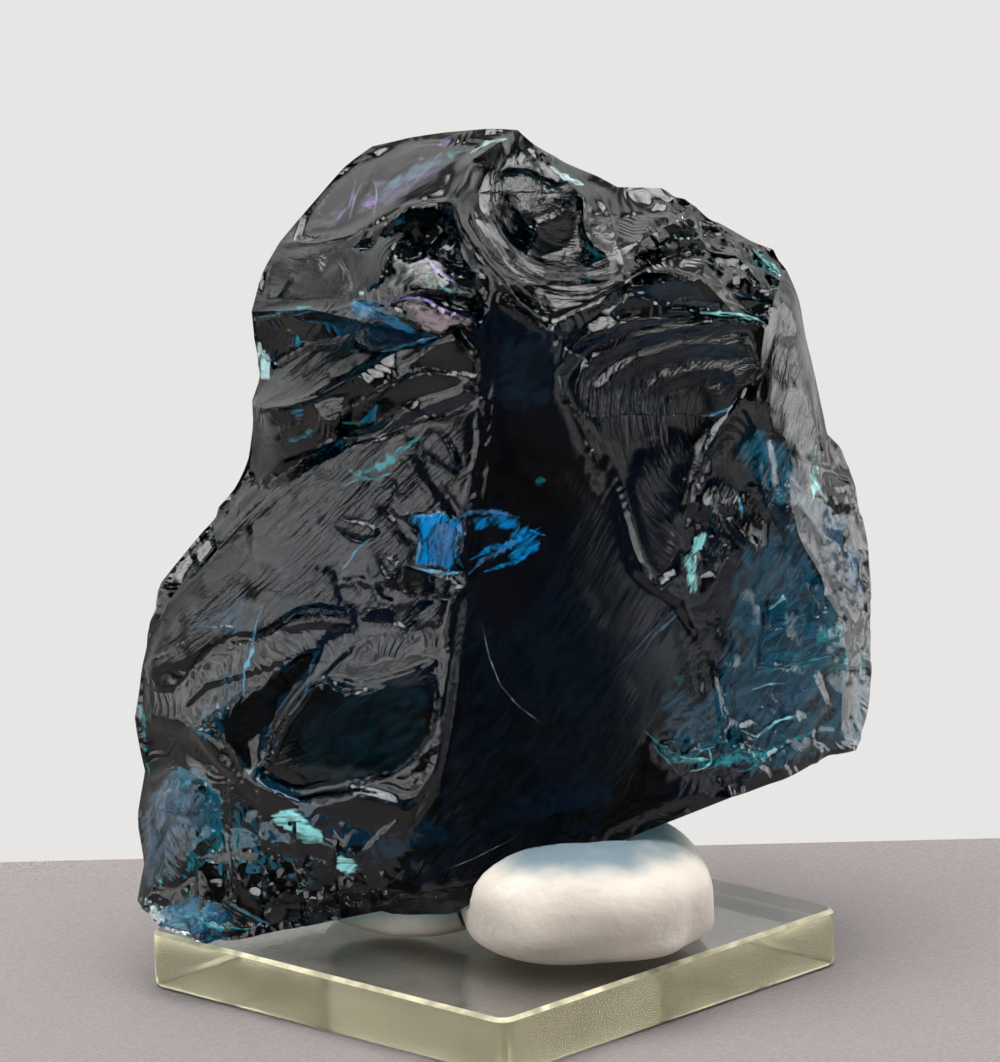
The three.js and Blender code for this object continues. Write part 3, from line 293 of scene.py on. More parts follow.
MARKS = [  # kind, height (or slopes and height), width, reach, line or outline
    ("step", -0.25, 0.7, 5, dots(-332, 258, -318, 282, -301, 303, -280, 316, -256, 315, -228, 323,
        -204, 337, -176, 341, -156, 337)),
    ("tilt", (0.46, -0.12, 0.25), 0.5, 0, dots(-306, 232, -270, 258, -246, 271, -221, 289, -201, 303,
        -186, 306, -194, 287, -214, 263, -230, 240, -240, 216, -255, 178, -270, 185, -280, 204, -293, 221)),
    ("tilt", (0.22, -0.1, -0.3), 0.6, 0, dots(-180, 276, -163, 261, -135, 265, -107, 271, -86, 274,
        -68, 277, -64, 254, -70, 220, -90, 192, -111, 178, -142, 169, -176, 171, -211, 164, -247, 176,
        -233, 216, -219, 244, -199, 268)),
    ("tilt", (0.35, -0.1, 0.15), 0.3, 0, dots(-192, 316, -180, 330, -159, 333, -155, 327, -169, 319,
        -187, 308)),
    ("tilt", (0.3, -0.1, 0.22), 0.3, 0, dots(-145, 338, -142, 348, -121, 351, -107, 347, -90, 350, -80, 356,
        -71, 356, -86, 343, -87, 330, -107, 333, -128, 336)),
    ("ridge", 0.22, 0.35, 0, dots(-256, 173, -235, 218, -221, 247, -201, 271, -180, 287, -163, 305,
        -142, 319)),
    ("ridge", 0.2, 0.35, 0, dots(-179, 287, -169, 275, -149, 269, -121, 274, -97, 281, -73, 290, -58, 305)),
    ("isle", 0.5, 0.3, 0, dots(-172, 435, -163, 442, -148, 441, -127, 433, -129, 424, -142, 420,
        -159, 425)),
    ("isle", 0.6, 0.3, 0, dots(-82, 516, -78, 527, -67, 533, -55, 526, -46, 507, -41, 492, -52, 492,
        -66, 502, -78, 511)),
    ("isle", 0.4, 0.3, 0, dots(-120, 404, -111, 402, -103, 392, -107, 381, -116, 383, -121, 395)),
    ("isle", 0.4, 0.3, 0, dots(-72, 378, -62, 384, -48, 382, -40, 372, -46, 362, -62, 362, -72, 369)),
    ("tilt", (0.35, -0.15, 0.15), 0.3, 0, dots(-97, 446, -59, 448, -50, 439, -37, 445, -37, 429, -45, 396,
        -38, 388, -59, 386, -73, 389, -88, 398, -82, 417, -90, 430)),
    ("tilt", (0.45, -0.15, 0.7), 0.3, 0, dots(-114, 368, -118, 379, -97, 393, -73, 384, -68, 379, -73, 364,
        -90, 363, -107, 368)),
    ("step", 0.34, 0.4, 2.5, dots(-114, 486, -107, 479, -107, 464, -115, 454, -107, 444, -93, 433)),
    ("tilt", (0.22, 0.1, 0), 0.6, 0, dots(-102, 506, -90, 508, -73, 493, -59, 475, -43, 455, -40, 436,
        -59, 450, -80, 474)),
    ("step", 0.12, 0.7, 3, dots(-142, 534, -163, 510, -190, 486, -221, 456)),
    ("step", 0.08, 0.35, 2.5, dots(-140, 486, -176, 462, -218, 430, -259, 396)),
    ("ridge", 0.3, 0.5, 0, dots(-270, 451, -280, 434, -293, 423)),
    ("ridge", 0.3, 2.2, 0, dots(-363, 303, -332, 337, -287, 379, -239, 417, -190, 448)),
    ("ridge", -0.28, 1.3, 0, dots(-353, 341, -315, 379, -270, 420, -225, 458, -176, 493)),
    ("ridge", 0.22, 1.6, 0, dots(-270, 351, -239, 372, -204, 382, -163, 382, -135, 365)),
    ("ridge", -0.16, 0.9, 0, dots(-315, 330, -280, 351, -246, 358)),
    ("ridge", 0.18, 1.2, 0, dots(-169, 413, -142, 399, -128, 372)),
    ("step", 0.2, 0.5, 2, dots(-145, 372, -163, 379, -176, 372, -190, 356)),
    ("step", 0.25, 0.6, 2.5, dots(-332, 228, -325, 247, -304, 268, -270, 278, -235, 289, -211, 303)),
    ("tilt", (0.7, -0.2, 0.35), 0.4, 0, dots(-262, 524, -255, 486, -280, 458, -303, 430, -309, 441,
        -293, 458, -277, 479, -270, 503)),
    ("tilt", (0.6, -0.25, 0.25), 0.4, 0, dots(-221, 503, -190, 513, -163, 524, -163, 513, -190, 500,
        -221, 479, -246, 458, -270, 434, -293, 410, -313, 392, -318, 406, -297, 430, -270, 462, -246, 486)),
    ("tilt", (0.75, -0.2, 0.35), 0.4, 0, dots(-303, 430, -293, 410, -318, 387, -335, 365, -346, 351,
        -356, 337, -365, 348, -360, 372, -342, 392, -322, 413)),
    ("tilt", (0.22, -0.22, 0.1), 0.3, 0, dots(-368, 289, -363, 298, -339, 306, -318, 320, -301, 330,
        -280, 331, -270, 322, -252, 324, -235, 333, -214, 348, -190, 353, -163, 349, -159, 341, -183, 344,
        -211, 340, -232, 327, -252, 316, -273, 313, -293, 314, -308, 306, -318, 292, -327, 277, -339, 265,
        -353, 263, -366, 271)),
    ("tilt", (0.1, -0.42, 0.4), 0.7, 0, dots(-259, 524, -218, 538, -163, 552, -114, 583, -80, 596, -24, 590,
        -21, 565, -52, 548, -80, 545, -107, 531, -163, 517, -204, 500, -239, 475, -256, 479)),
    ("step", 0.4, 0.9, 3, dots(-373, 225, -353, 223, -332, 228, -311, 218, -280, 195, -259, 171)),
    ("ridge", -0.24, 0.24, 0, dots(-172, 435, -163, 442, -148, 441, -127, 433, -129, 424, -142, 420,
        -159, 425, -172, 435)),
    ("ridge", -0.24, 0.24, 0, dots(-82, 516, -78, 527, -67, 533, -55, 526, -46, 507, -41, 492, -52, 492,
        -66, 502, -78, 511, -82, 516)),
    ("ridge", -0.24, 0.24, 0, dots(-120, 404, -111, 402, -103, 392, -107, 381, -116, 383, -121, 395,
        -120, 404)),
    ("ridge", -0.24, 0.24, 0, dots(-72, 378, -62, 384, -48, 382, -40, 372, -46, 362, -62, 362, -72, 369,
        -72, 378)),
    ("ridge", -0.22, 0.25, 0, dots(-118, 484, -110, 479, -107, 464, -115, 454, -111, 444, -100, 441,
        -91, 433)),
    ("ridge", 0.22, 0.4, 0, dots(-173, 370, -163, 377, -145, 379, -131, 372, -124, 358, -111, 354, -90, 358,
        -78, 365)),
    ("ridge", 0.16, 0.3, 0, dots(-180, 287, -190, 275, -204, 254, -221, 233, -232, 213, -239, 195,
        -256, 171)),
    ("tilt", (0.12, -0.6, 0.9), 0.5, 0, dots(-152, 723, -124, 746, -103, 760, -97, 767, -66, 768, -47, 742,
        -41, 711, -28, 693, -48, 698, -62, 711, -76, 717, -95, 709, -107, 717, -93, 745, -120, 738,
        -141, 720)),
    ("ridge", 0.3, 0.4, 0, dots(-90, 752, -81, 735, -66, 724, -48, 717)),
    ("ridge", -0.3, 0.4, 0, dots(-76, 759, -62, 742, -48, 735)),
    ("ridge", 0.3, 0.4, 0, dots(-62, 717, -45, 704, -28, 698, -14, 683)),
    ("tilt", (0.3, -0.5, 0.4), 0.4, 0, dots(-48, 698, -28, 693, -16, 662, -20, 648, -31, 662, -45, 679)),
    ("tilt", (-0.2, 0.15, -0.5), 0.4, 0, dots(-141, 690, -138, 714, -124, 731, -97, 747, -91, 745,
        -107, 727, -117, 707, -124, 686, -135, 681)),
    ("tilt", (-0.1, 0.05, -0.3), 0.4, 0, dots(-121, 683, -107, 704, -82, 718, -75, 714, -62, 693, -26, 675,
        -31, 671, -62, 679, -90, 675, -113, 667)),
    ("tilt", (-0.15, 0.15, -0.4), 0.4, 0, dots(-113, 664, -93, 673, -72, 667, -48, 652, -26, 655, -22, 641,
        -48, 641, -62, 634, -77, 635, -93, 651)),
    ("isle", -0.8, 0.4, 0, dots(-83, 675, -62, 673, -24, 667, -28, 657, -48, 658, -69, 667)),
    ("ridge", 0.09, 0.45, 0, dots(-218, 727, -201, 707, -179, 683, -163, 667)),
    ("ridge", 0.09, 0.45, 0, dots(-205, 727, -190, 707, -172, 683, -159, 667)),
    ("ridge", 0.09, 0.45, 0, dots(-193, 727, -180, 707, -165, 683, -156, 667)),
    ("ridge", 0.09, 0.45, 0, dots(-180, 727, -169, 707, -158, 683, -152, 667)),
    ("ridge", 0.09, 0.45, 0, dots(-168, 727, -159, 707, -151, 683, -149, 667)),
    ("tilt", (0, 0.28, -0.3), 0.5, 0, dots(-257, 562, -235, 590, -207, 614, -189, 628, -166, 633, -146, 633,
        -149, 623, -166, 617, -124, 617, -109, 614, -138, 599, -166, 582, -187, 568, -218, 558, -249, 554)),
    ("tilt", (0.05, -0.38, 0.4), 0.6, 0, dots(-252, 648, -225, 654, -197, 659, -169, 659, -149, 667,
        -124, 662, -83, 635, -66, 631, -90, 623, -121, 617, -149, 623, -148, 633, -166, 634, -189, 628,
        -207, 614, -232, 598, -249, 614)),
    ("ridge", 0.3, 0.6, 0, dots(-187, 598, -166, 607, -149, 614, -124, 617)),
    ("tilt", (0, -0.38, 0.3), 1.3, 0, dots(-156, 562, -124, 590, -97, 607, -66, 628, -48, 635, -31, 617,
        -22, 593, -28, 579, -55, 572, -90, 562, -118, 545, -138, 534, -166, 531)),
    ("ridge", -0.3, 0.4, 0, dots(-183, 593, -169, 590, -152, 596, -142, 607)),
    ("ridge", 0.1, 0.5, 0, dots(-249, 565, -218, 583, -187, 593, -166, 600)),
    ("step", 0.35, 0.6, 3, dots(-228, 724, -190, 730, -156, 735, -131, 747, -107, 762, -76, 775, -55, 778)),
    ("ridge", 0.12, 0.35, 0, dots(-156, 752, -150, 773, -138, 790, -130, 811, -124, 828)),
    ("ridge", 0.1, 0.3, 0, dots(-130, 811, -127, 787, -131, 756)),
    ("isle", -0.8, 0.5, 0, dots(-7, 790, 7, 804, 28, 804, 52, 792, 76, 785, 85, 773, 85, 742, 93, 726,
        107, 714, 90, 705, 69, 704, 45, 707, 28, 717, 12, 731, -2, 752, -8, 773)),
    ("tilt", (0.55, -0.1, 0.35), 0.4, 0, dots(-8, 788, 2, 797, 9, 781, 16, 762, 28, 745, 38, 737, 28, 719,
        16, 731, 3, 747, -5, 762)),
    ("isle", 0.6, 1.4, 0, dots(7, 800, 28, 802, 52, 790, 76, 784, 66, 769, 52, 757, 38, 752, 26, 756,
        16, 768, 9, 783)),
    ("tilt", (0.2, -0.62, 0.3), 0.6, 0, dots(38, 752, 55, 757, 69, 769, 81, 776, 85, 742, 95, 723, 104, 715,
        83, 707, 59, 706, 38, 712, 28, 721)),
    ("ridge", 0.5, 0.5, 0, dots(87, 785, 91, 769, 86, 752, 87, 737, 97, 726, 111, 719, 120, 718)),
    ("ridge", -0.25, 0.35, 0, dots(80, 781, 82, 766, 78, 749, 81, 735, 90, 723, 104, 713)),
    ("step", 0.4, 0.5, 3, dots(92, 778, 107, 766, 116, 745, 119, 724, 124, 707)),
    ("ridge", 0.2, 0.34, 0, dots(-53, 776, -48, 749, -35, 728, -17, 707, 2, 686, 22, 666, 47, 645)),
    ("ridge", -0.22, 0.34, 0, dots(-45, 776, -40, 749, -27, 728, -10, 707, 9, 686, 29, 666, 50, 645)),
    ("ridge", 0.2, 0.34, 0, dots(-38, 776, -33, 749, -20, 728, -3, 707, 16, 686, 35, 666, 54, 645)),
    ("ridge", -0.2, 0.34, 0, dots(-30, 776, -26, 749, -12, 728, 5, 707, 24, 686, 42, 666, 58, 645)),
    ("ridge", 0.24, 0.34, 0, dots(-23, 776, -18, 749, -5, 728, 12, 707, 31, 686, 49, 666, 62, 645)),
    ("ridge", -0.32, 0.45, 0, dots(-26, 790, -21, 773, -18, 756, -14, 738, -2, 723, 21, 704, 45, 690,
        76, 683, 104, 688, 124, 693)),
    ("ridge", 0.28, 0.5, 0, dots(-10, 807, -12, 787, -10, 762, -5, 742, 10, 723, 31, 707, 55, 698, 86, 698,
        111, 702)),
    ("ridge", -0.2, 0.35, 0, dots(12, 832, 5, 814, 0, 804)),
    ("ridge", 0.22, 0.4, 0, dots(12, 704, 35, 690, 59, 683, 86, 679, 111, 683, 127, 691)),
    ("ridge", -0.3, 0.35, 0, dots(10, 683, 28, 667, 41, 655, 52, 647)),
    ("ridge", 0.25, 0.4, 0, dots(57, 655, 76, 662, 100, 671, 126, 684)),
    ("ridge", 0.15, 0.35, 0, dots(17, 835, 28, 818, 45, 800, 66, 790)),
    ("ridge", -0.15, 0.3, 0, dots(16, 821, 24, 807, 41, 795)),
    ("ridge", 0.12, 0.22, 0, dots(16, 757, 28, 765)),
    ("ridge", 0.12, 0.22, 0, dots(21, 755, 33, 763)),
    ("ridge", 0.12, 0.22, 0, dots(27, 753, 38, 762)),
    ("ridge", 0.12, 0.22, 0, dots(32, 751, 43, 760)),
    ("ridge", 0.12, 0.22, 0, dots(38, 749, 48, 758)),
    ("step", -0.6, 0.6, 3, dots(-7, 686, 14, 666, 35, 648, 50, 636, 57, 647, 76, 657, 100, 667, 128, 685)),
    ("tilt", (-0.2, 0.2, 0), 0.4, 0, dots(121, 756, 145, 759, 159, 752, 145, 728, 131, 717, 123, 724)),
    ("tilt", (0.3, -0.5, 0.5), 0.5, 0, dots(128, 714, 159, 742, 166, 717, 145, 700, 129, 690)),
    ("ridge", 0.38, 0.55, 0, dots(64, 569, 57, 590, 71, 614, 100, 635, 138, 649, 180, 656, 214, 655)),
    ("ridge", -0.26, 0.55, 0, dots(74, 567, 71, 588, 86, 612, 114, 629, 152, 642, 194, 649, 239, 652)),
    ("ridge", 0.38, 0.55, 0, dots(83, 562, 80, 583, 97, 606, 124, 623, 159, 635, 201, 642, 256, 644)),
    ("ridge", -0.26, 0.55, 0, dots(93, 556, 93, 579, 109, 601, 138, 617, 173, 628, 214, 635, 266, 635)),
    ("ridge", 0.38, 0.55, 0, dots(104, 550, 104, 572, 121, 593, 149, 610, 183, 619, 221, 623, 266, 621)),
    ("ridge", -0.156, 0.55, 0, dots(119, 562, 137, 583, 163, 598, 194, 608, 225, 610, 259, 607)),
    ("ridge", 0.228, 0.55, 0, dots(138, 558, 152, 575, 176, 588, 204, 596, 232, 597, 256, 591)),
    ("ridge", -0.156, 0.55, 0, dots(159, 558, 173, 571, 194, 579, 214, 584, 239, 583)),
    ("ridge", 0.12, 0.35, 0, dots(133, 660, 132, 635, 131, 607, 118, 584)),
    ("step", 0.5, 0.6, 3, dots(256, 583, 242, 558, 226, 539, 211, 513, 201, 482)),
    ("ridge", -0.1, 0.42, 0, dots(287, 662, 281, 621, 273, 579, 266, 534)),
    ("ridge", 0.11, 0.42, 0, dots(290, 657, 287, 615, 281, 574, 277, 531)),
    ("ridge", -0.1, 0.42, 0, dots(294, 652, 293, 610, 290, 570, 287, 527)),
    ("ridge", 0.11, 0.42, 0, dots(297, 647, 299, 605, 298, 565, 297, 524)),
    ("ridge", -0.1, 0.42, 0, dots(301, 641, 306, 600, 306, 560, 308, 520)),
    ("ridge", 0.11, 0.42, 0, dots(304, 636, 312, 595, 315, 555, 318, 517)),
    ("ridge", -0.1, 0.42, 0, dots(308, 631, 318, 590, 323, 550, 328, 513)),
    ("ridge", 0.1, 0.3, 0, dots(-18, 332, -12, 296, 8, 259, 41, 231)),
    ("ridge", 0.08, 0.3, 0, dots(145, 306, 166, 327, 185, 356)),
    ("step", 0.25, 0.5, 2, dots(-133, 41, -62, 55, 21, 76, 104, 111, 187, 148, 270, 179)),
    ("tilt", (0, -0.8, 0.2), 0.35, 0, dots(156, 737, 187, 757, 228, 747, 270, 716, 288, 695, 273, 698,
        242, 721, 207, 735, 180, 735, 163, 724)),
    ("tilt", (-0.05, -0.8, 0.2), 0.35, 0, dots(138, 711, 152, 723, 163, 724, 180, 735, 207, 735, 242, 721,
        273, 698, 288, 690, 284, 676, 242, 700, 207, 714, 180, 714, 152, 704)),
    ("tilt", (-0.05, -0.8, 0.2), 0.35, 0, dots(133, 700, 152, 704, 180, 714, 207, 714, 242, 700, 284, 676,
        281, 662, 242, 679, 207, 692, 180, 692, 152, 686, 138, 686)),
    ("tilt", (-0.05, -0.8, 0.2), 0.35, 0, dots(138, 686, 152, 686, 180, 692, 207, 692, 242, 679, 281, 662,
        278, 652, 249, 652, 207, 659, 166, 666, 140, 676)),
    ("tilt", (0, -0.8, 0.15), 0.3, 0, dots(114, 657, 131, 673, 145, 676, 166, 666, 207, 658, 249, 651,
        277, 651, 278, 644, 242, 648, 194, 651, 152, 650, 121, 648)),
    ("tilt", (0.34, -0.1, 0), 0.25, 0, dots(-315, 90, -284, 84, -280, 21, -313, 21)),
    ("tilt", (0.34, -0.1, 0), 0.25, 0, dots(-278, 90, -247, 84, -243, 21, -276, 21)),
    ("tilt", (0.34, -0.1, 0), 0.25, 0, dots(-241, 90, -210, 84, -205, 21, -239, 21)),
    ("tilt", (0.34, -0.1, 0), 0.25, 0, dots(-203, 90, -172, 84, -168, 21, -201, 21)),
    ("tilt", (0.3, -0.05, 0), 0.3, 0, dots(-320, 169, -288, 165, -286, 96, -317, 99)),
    ("tilt", (0.3, -0.05, 0), 0.3, 0, dots(-282, 169, -251, 165, -249, 96, -280, 99)),
    ("ridge", 0.4, 0.6, 0, dots(235, 444, 246, 430, 263, 415)),
    ("ridge", 0.4, 0.6, 0, dots(239, 303, 239, 268, 235, 233, 252, 213, 273, 199)),
    ("tilt", (-0.3, 0, 0.3), 0.6, 0, dots(273, 351, 315, 368, 346, 337, 339, 295, 301, 289, 266, 289)),
    ("tilt", (-0.35, -0.1, 0.2), 0.8, 0, dots(280, 524, 308, 524, 322, 489, 328, 441, 308, 448, 287, 475)),
    ("tilt", (-0.3, 0, 0.2), 0.8, 0, dots(339, 462, 363, 441, 377, 399, 381, 351, 356, 351, 342, 396,
        328, 430)),
    ("tilt", (-0.25, -0.15, 0.2), 0.8, 0, dots(225, 282, 266, 289, 328, 282, 342, 247, 315, 213, 273, 199,
        239, 213)),
    ("ridge", 0.4, 0.6, 0, dots(315, 399, 339, 382, 356, 348, 360, 316)),
    ("ridge", 0.4, 0.45, 0, dots(228, 538, 211, 510, 199, 475, 190, 444)),
    ("ridge", 0.3, 0.6, 0, dots(-368, 161, -349, 176, -325, 174, -304, 161)),
    ("ridge", -0.35, 0.8, 0, dots(-363, 119, -342, 133, -322, 130, -304, 112)),
    ("ridge", 0.4, 0.6, 0, dots(-328, 71, -325, 92, -308, 109, -284, 119)),
    ("ridge", -0.15, 0.4, 0, dots(-356, 150, -339, 157, -318, 150)),
    ("ridge", -0.3, 0.5, 0, dots(-361, 99, -353, 71, -346, 57)),
    ("step", 0.5, 0.6, 3, dots(-360, 223, -322, 220, -290, 185, -256, 150, -242, 133)),
    ("ridge", 0.35, 0.5, 0, dots(-201, 136, -173, 150, -145, 157, -118, 150, -100, 136)),
    ("step", 0.25, 0.4, 2, dots(-100, 135, -124, 116, -145, 95)),
]
CRUMBS = [  # broken edges: size, height, rim, outline
    (1.5, 0.5, 1, dots(21, 845, 38, 828, 62, 814, 83, 800, 104, 794, 121, 783, 145, 788, 173, 785, 194, 775,
        214, 761, 239, 743, 263, 724, 284, 724, 296, 704, 294, 690, 287, 662, 242, 690, 221, 711, 194, 742,
        166, 756, 138, 773, 114, 776, 86, 787, 55, 797, 35, 818)),
    (1.2, 0.3, 1, dots(194, 742, 221, 711, 242, 690, 287, 662, 277, 648, 242, 662, 207, 690, 194, 711)),
    (1.2, 0.42, 1, dots(349, 524, 363, 493, 380, 441, 386, 358, 388, 275, 373, 207, 311, 182, 280, 176,
        249, 202, 207, 187, 166, 192, 150, 213, 207, 218, 270, 254, 311, 316, 332, 399, 327, 462)),
    (1.2, 0.16, 1, dots(197, 441, 249, 482, 311, 482, 332, 399, 311, 316, 270, 254, 228, 233, 207, 296,
        187, 358)),
    (1.5, 0.45, 1, dots(-263, 143, -239, 137, -201, 143, -173, 130, -138, 88, -131, 43, -187, 29, -249, 43,
        -280, 57, -277, 85, -249, 102, -263, 126)),
    (1.3, 0.35, 1, dots(-373, 43, -356, 50, -325, 61, -280, 57, -242, 43, -218, 22, -280, -2, -332, 2,
        -363, 22)),
    (1.2, 0.35, 1, dots(-254, 638, -247, 586, -257, 545, -259, 493, -306, 420, -353, 358, -373, 275,
        -363, 358, -332, 410, -275, 482, -263, 534, -259, 586)),
    (0.9, 0.14, 0.4, dots(-25, 571, -15, 565, -15, 524, -25, 472, -33, 430, -41, 379, -50, 316, -56, 254,
        -62, 207, -75, 176, -99, 145, -109, 150, -83, 184, -71, 223, -62, 306, -52, 389, -39, 462,
        -27, 524)),
    (1.3, 0.35, 1, dots(-140, 41, -130, 67, -73, 57, -21, 67, -31, 34, -104, 29)),
]
BUSY = [  # places with fine detail that lie outside the calm faces
    dots(-255, 540, -255, 720, -140, 740, -50, 810, 130, 830, 140, 640, 40, 620, -30, 580, -140, 525),
    dots(140, 840, 290, 750, 320, 620, 270, 600, 130, 660),
    dots(190, 360, 240, 560, 330, 460, 380, 450, 390, 200, 300, 170, 140, 210),
    dots(-380, 220, -250, 190, -130, 120, -120, 20, -360, 0),
    dots(-180, 520, -40, 560, -40, 340, -200, 340),
]


def find(parent, i):
    """The first member of the group that i belongs to."""
    while parent[i] != i:
        parent[i] = parent[parent[i]]
        i = parent[i]
    return i


def base_chunk():
    """The CAD chunk with its fracture edges marked as creases and its faces numbered by facet."""
    bm = merged("glass_chunk")
    bm.faces.ensure_lookup_table()
    creased(bm, CREASE_FROM, CREASE_TO)
    facet = bm.faces.layers.int.new("facet")
    parent = list(range(len(bm.faces)))
    for e in bm.edges:
        if e.calc_face_angle(0) < SAME_FACET and len(e.link_faces) == 2:
            a, b = (find(parent, f.index) for f in e.link_faces)
            parent[a] = b
    for f in bm.faces:
        f[facet] = find(parent, f.index)
    return as_mesh(bm, "glass_chunk_base")


def spacing(at, front):
    """Length of an edge in mm that the mesh should have at a place."""
    want = np.where(front > 0.05, EDGE_SHOW, np.where(front > -0.3, EDGE_RIM, EDGE_BACK))
    for _, _, outline in CALM:
        want = np.where((within(at[:, :2], outline) > -0.8) & (front > 0.1), EDGE_CALM, want)
    great = CALM[1][2]  # the great dark face has little detail of its own
    want = np.where((within(at[:, :2], great) > 1.2) & (front > 0.1), EDGE_GREAT, want)
    for outline in BUSY:
        want = np.where((within(at[:, :2], outline) > 0) & (front > 0.05), EDGE_BUSY, want)
    return want


def triangulated(mesh):
    with editing(mesh) as bm:
        bmesh.ops.triangulate(bm, faces=bm.faces)
    mesh.update()


def refine(mesh):
    """Splits long edges until the mesh is as fine as each place needs."""
    for _ in range(SPLITS):
        triangulated(mesh)
        co = read(mesh.vertices, "co", 3)
        pairs = read(mesh.edges, "vertices", 2, np.int32)
        middle = (co[pairs[:, 0]] + co[pairs[:, 1]]) / 2
        length = np.linalg.norm(co[pairs[:, 0]] - co[pairs[:, 1]], axis=1) / MM
        long = length > TOO_LONG * spacing(seen(middle), facing(mesh)[pairs].mean(1))
        with editing(mesh) as bm:
            bm.edges.ensure_lookup_table()
            bmesh.ops.subdivide_edges(bm, edges=[bm.edges[i] for i in np.flatnonzero(long)], cuts=1)
    triangulated(mesh)


def fracture_edges(mesh):
    with editing(mesh) as bm:
        return np.array([e.calc_face_angle(0) > FRACTURE for e in bm.edges])


def long_runs(pairs, fewest):
    """Of the given edges, those in a connected run of at least so many."""
    ids = np.unique(pairs)
    at = np.searchsorted(ids, pairs)
    parent = list(range(len(ids)))
    for a, b in at:
        parent[find(parent, a)] = find(parent, b)
    root = np.array([find(parent, a) for a in at[:, 0]])
    count = np.bincount(root, minlength=len(ids))
    return pairs[count[root] >= fewest]


def averaged(co, pairs, times, keep):
    """Evens the mesh: each free vertex moves towards the middle of its neighbours."""
    free = np.setdiff1d(np.arange(len(co)), keep)
    count = np.bincount(pairs.ravel(), minlength=len(co))
    for _ in range(times):
        total = np.zeros_like(co)
        for axis in range(3):
            total[:, axis] = np.bincount(pairs[:, 0], co[pairs[:, 1], axis], len(co))
            total[:, axis] += np.bincount(pairs[:, 1], co[pairs[:, 0], axis], len(co))
        co[free] += 0.5 * (total[free] / count[free, None] - co[free])
    return co


CALM_CORE = 0.8  # mm inside the outline from where the bend is fitted
CALM_MOST = 2.5  # mm that a vertex may move onto it


def calmed(show, front):
    """Large clean fractures, bent as one smooth sheet."""
    for order, rim, outline in CALM:
        near = near_box(show, front, outline, 1, CALM_FACING)
        deep = within(show[near, :2], outline)
        near, deep = near[deep > 0], deep[deep > 0]
        u, w, away = (show[near] - show[near].mean(0)).T
        terms = np.stack([u**i * w**j for i in range(order + 1) for j in range(order + 1 - i)], 1)
        core = deep > CALM_CORE
        fit = np.linalg.lstsq(terms[core], away[core], rcond=None)[0]
        show[near, 2] += smooth(deep / rim) * np.clip(terms @ fit - away, -CALM_MOST, CALM_MOST)
    return show


def marked(show, front):
    """Steps, ridges, islands and turned facets; away grows where the glass is cut back."""
    for kind, size, wide, reach, line in MARKS:
        near = near_box(show, front, line, 3 * (reach + wide), MARK_FACING)
        q = show[near, :2]
        fade = smooth(front[near] / 0.2)
        if kind in ("isle", "tilt"):
            share = smooth(within(q, line) / wide + 0.5) * fade
            rise = -size if kind == "isle" else (q - np.array(line).mean(0)) @ np.array(size[:2]) + size[2]
            show[near, 2] += share * rise
            continue
        d, side, along, length = nearest(q, line)
        end = smooth(np.minimum(along, length - along) / (0.2 * length) + 0.1) * fade
        if kind == "ridge":
            show[near, 2] -= size * np.exp(-((d / wide) ** 2)) * end
        else:
            far = np.exp(-np.maximum(d - wide / 2, 0) / reach)
            show[near, 2] -= size * (smooth(d * side / wide + 0.5) - 0.5) * far * end
    return show


def scallops(p, size, seed):
    """Chips struck off side by side: hollows that meet in sharp ridges, from about -0.5 to 0.5."""
    cell = np.floor(p / size).astype(np.int64)
    low = np.full(len(p), 1e9)
    for step in np.ndindex(3, 3, 3):
        c = cell + np.array(step) - 1
        jitter = [hashed(*c.T, seed + k) * 0.5 + 0.5 for k in range(3)]
        off = p / size - (c + np.stack(jitter, 1))
        tip = np.stack([hashed(*c.T, seed + 10 + k) for k in range(3)], 1)
        drop = 0.45 * hashed(*c.T, seed + 20)
        low = np.minimum(low, (off**2).sum(1) + 0.7 * (off * tip).sum(1) + drop)
    return low


BIG_CHIP, SMALL_CHIP = 1.5, 0.6  # in sizes of the crumbs
CHIP_LEAN = np.array([[1, 0.25, 0], [-0.2, 0.62, 0.3], [0.1, -0.3, 1.1]])  # chips are longer one way


def crumbled(co, show, mesh, front):
    """Broken edges: small chips of many sizes, raised along the normal."""
    rise = np.zeros(len(co))
    for size, height, rim, outline in CRUMBS:
        near = near_box(show, front, outline, 1, CRUMB_FACING)
        deep = within(show[near, :2], outline)
        near, deep = near[deep > -0.4], deep[deep > -0.4]
        p = co[near] / MM
        bent = p + 0.5 * size * np.stack([noise(p, size * 1.7, 80 + k) for k in range(3)], 1)
        bent = bent @ CHIP_LEAN
        big, small = scallops(bent, size * BIG_CHIP, 40), scallops(bent, size * SMALL_CHIP, 90)
        patch = smooth(noise(p, size * 3.5, 70) * 1.3 + 0.7)
        rise[near] += (big * 1.6 + 0.45 * small) * height * patch * smooth(deep / rim + 0.3)
    return co + read(mesh.vertices, "normal", 3) * (rise * MM)[:, None]


STRUCK_SEED = 7


def rings(mesh, p):
    """Stores, at each face corner, the distance in mm from the point its facet was struck at."""
    facet = read(mesh.attributes["facet"].data, "value", 1, np.int32)
    owner = np.repeat(facet, read(mesh.polygons, "loop_total", 1, np.int32))
    vert = read(mesh.loops, "vertex_index", 1, np.int32)
    radius = np.zeros(len(vert))
    random = np.random.default_rng(STRUCK_SEED)
    for f in np.unique(facet):
        mine = owner == f
        q = p[vert[mine]]
        way = random.normal(size=3)
        struck = q[((q - q.mean(0)) @ way).argmax()]
        radius[mine] = np.linalg.norm(q - struck - way * 0.4, axis=1)
    write(mesh, "ring", "FLOAT", "CORNER", radius)


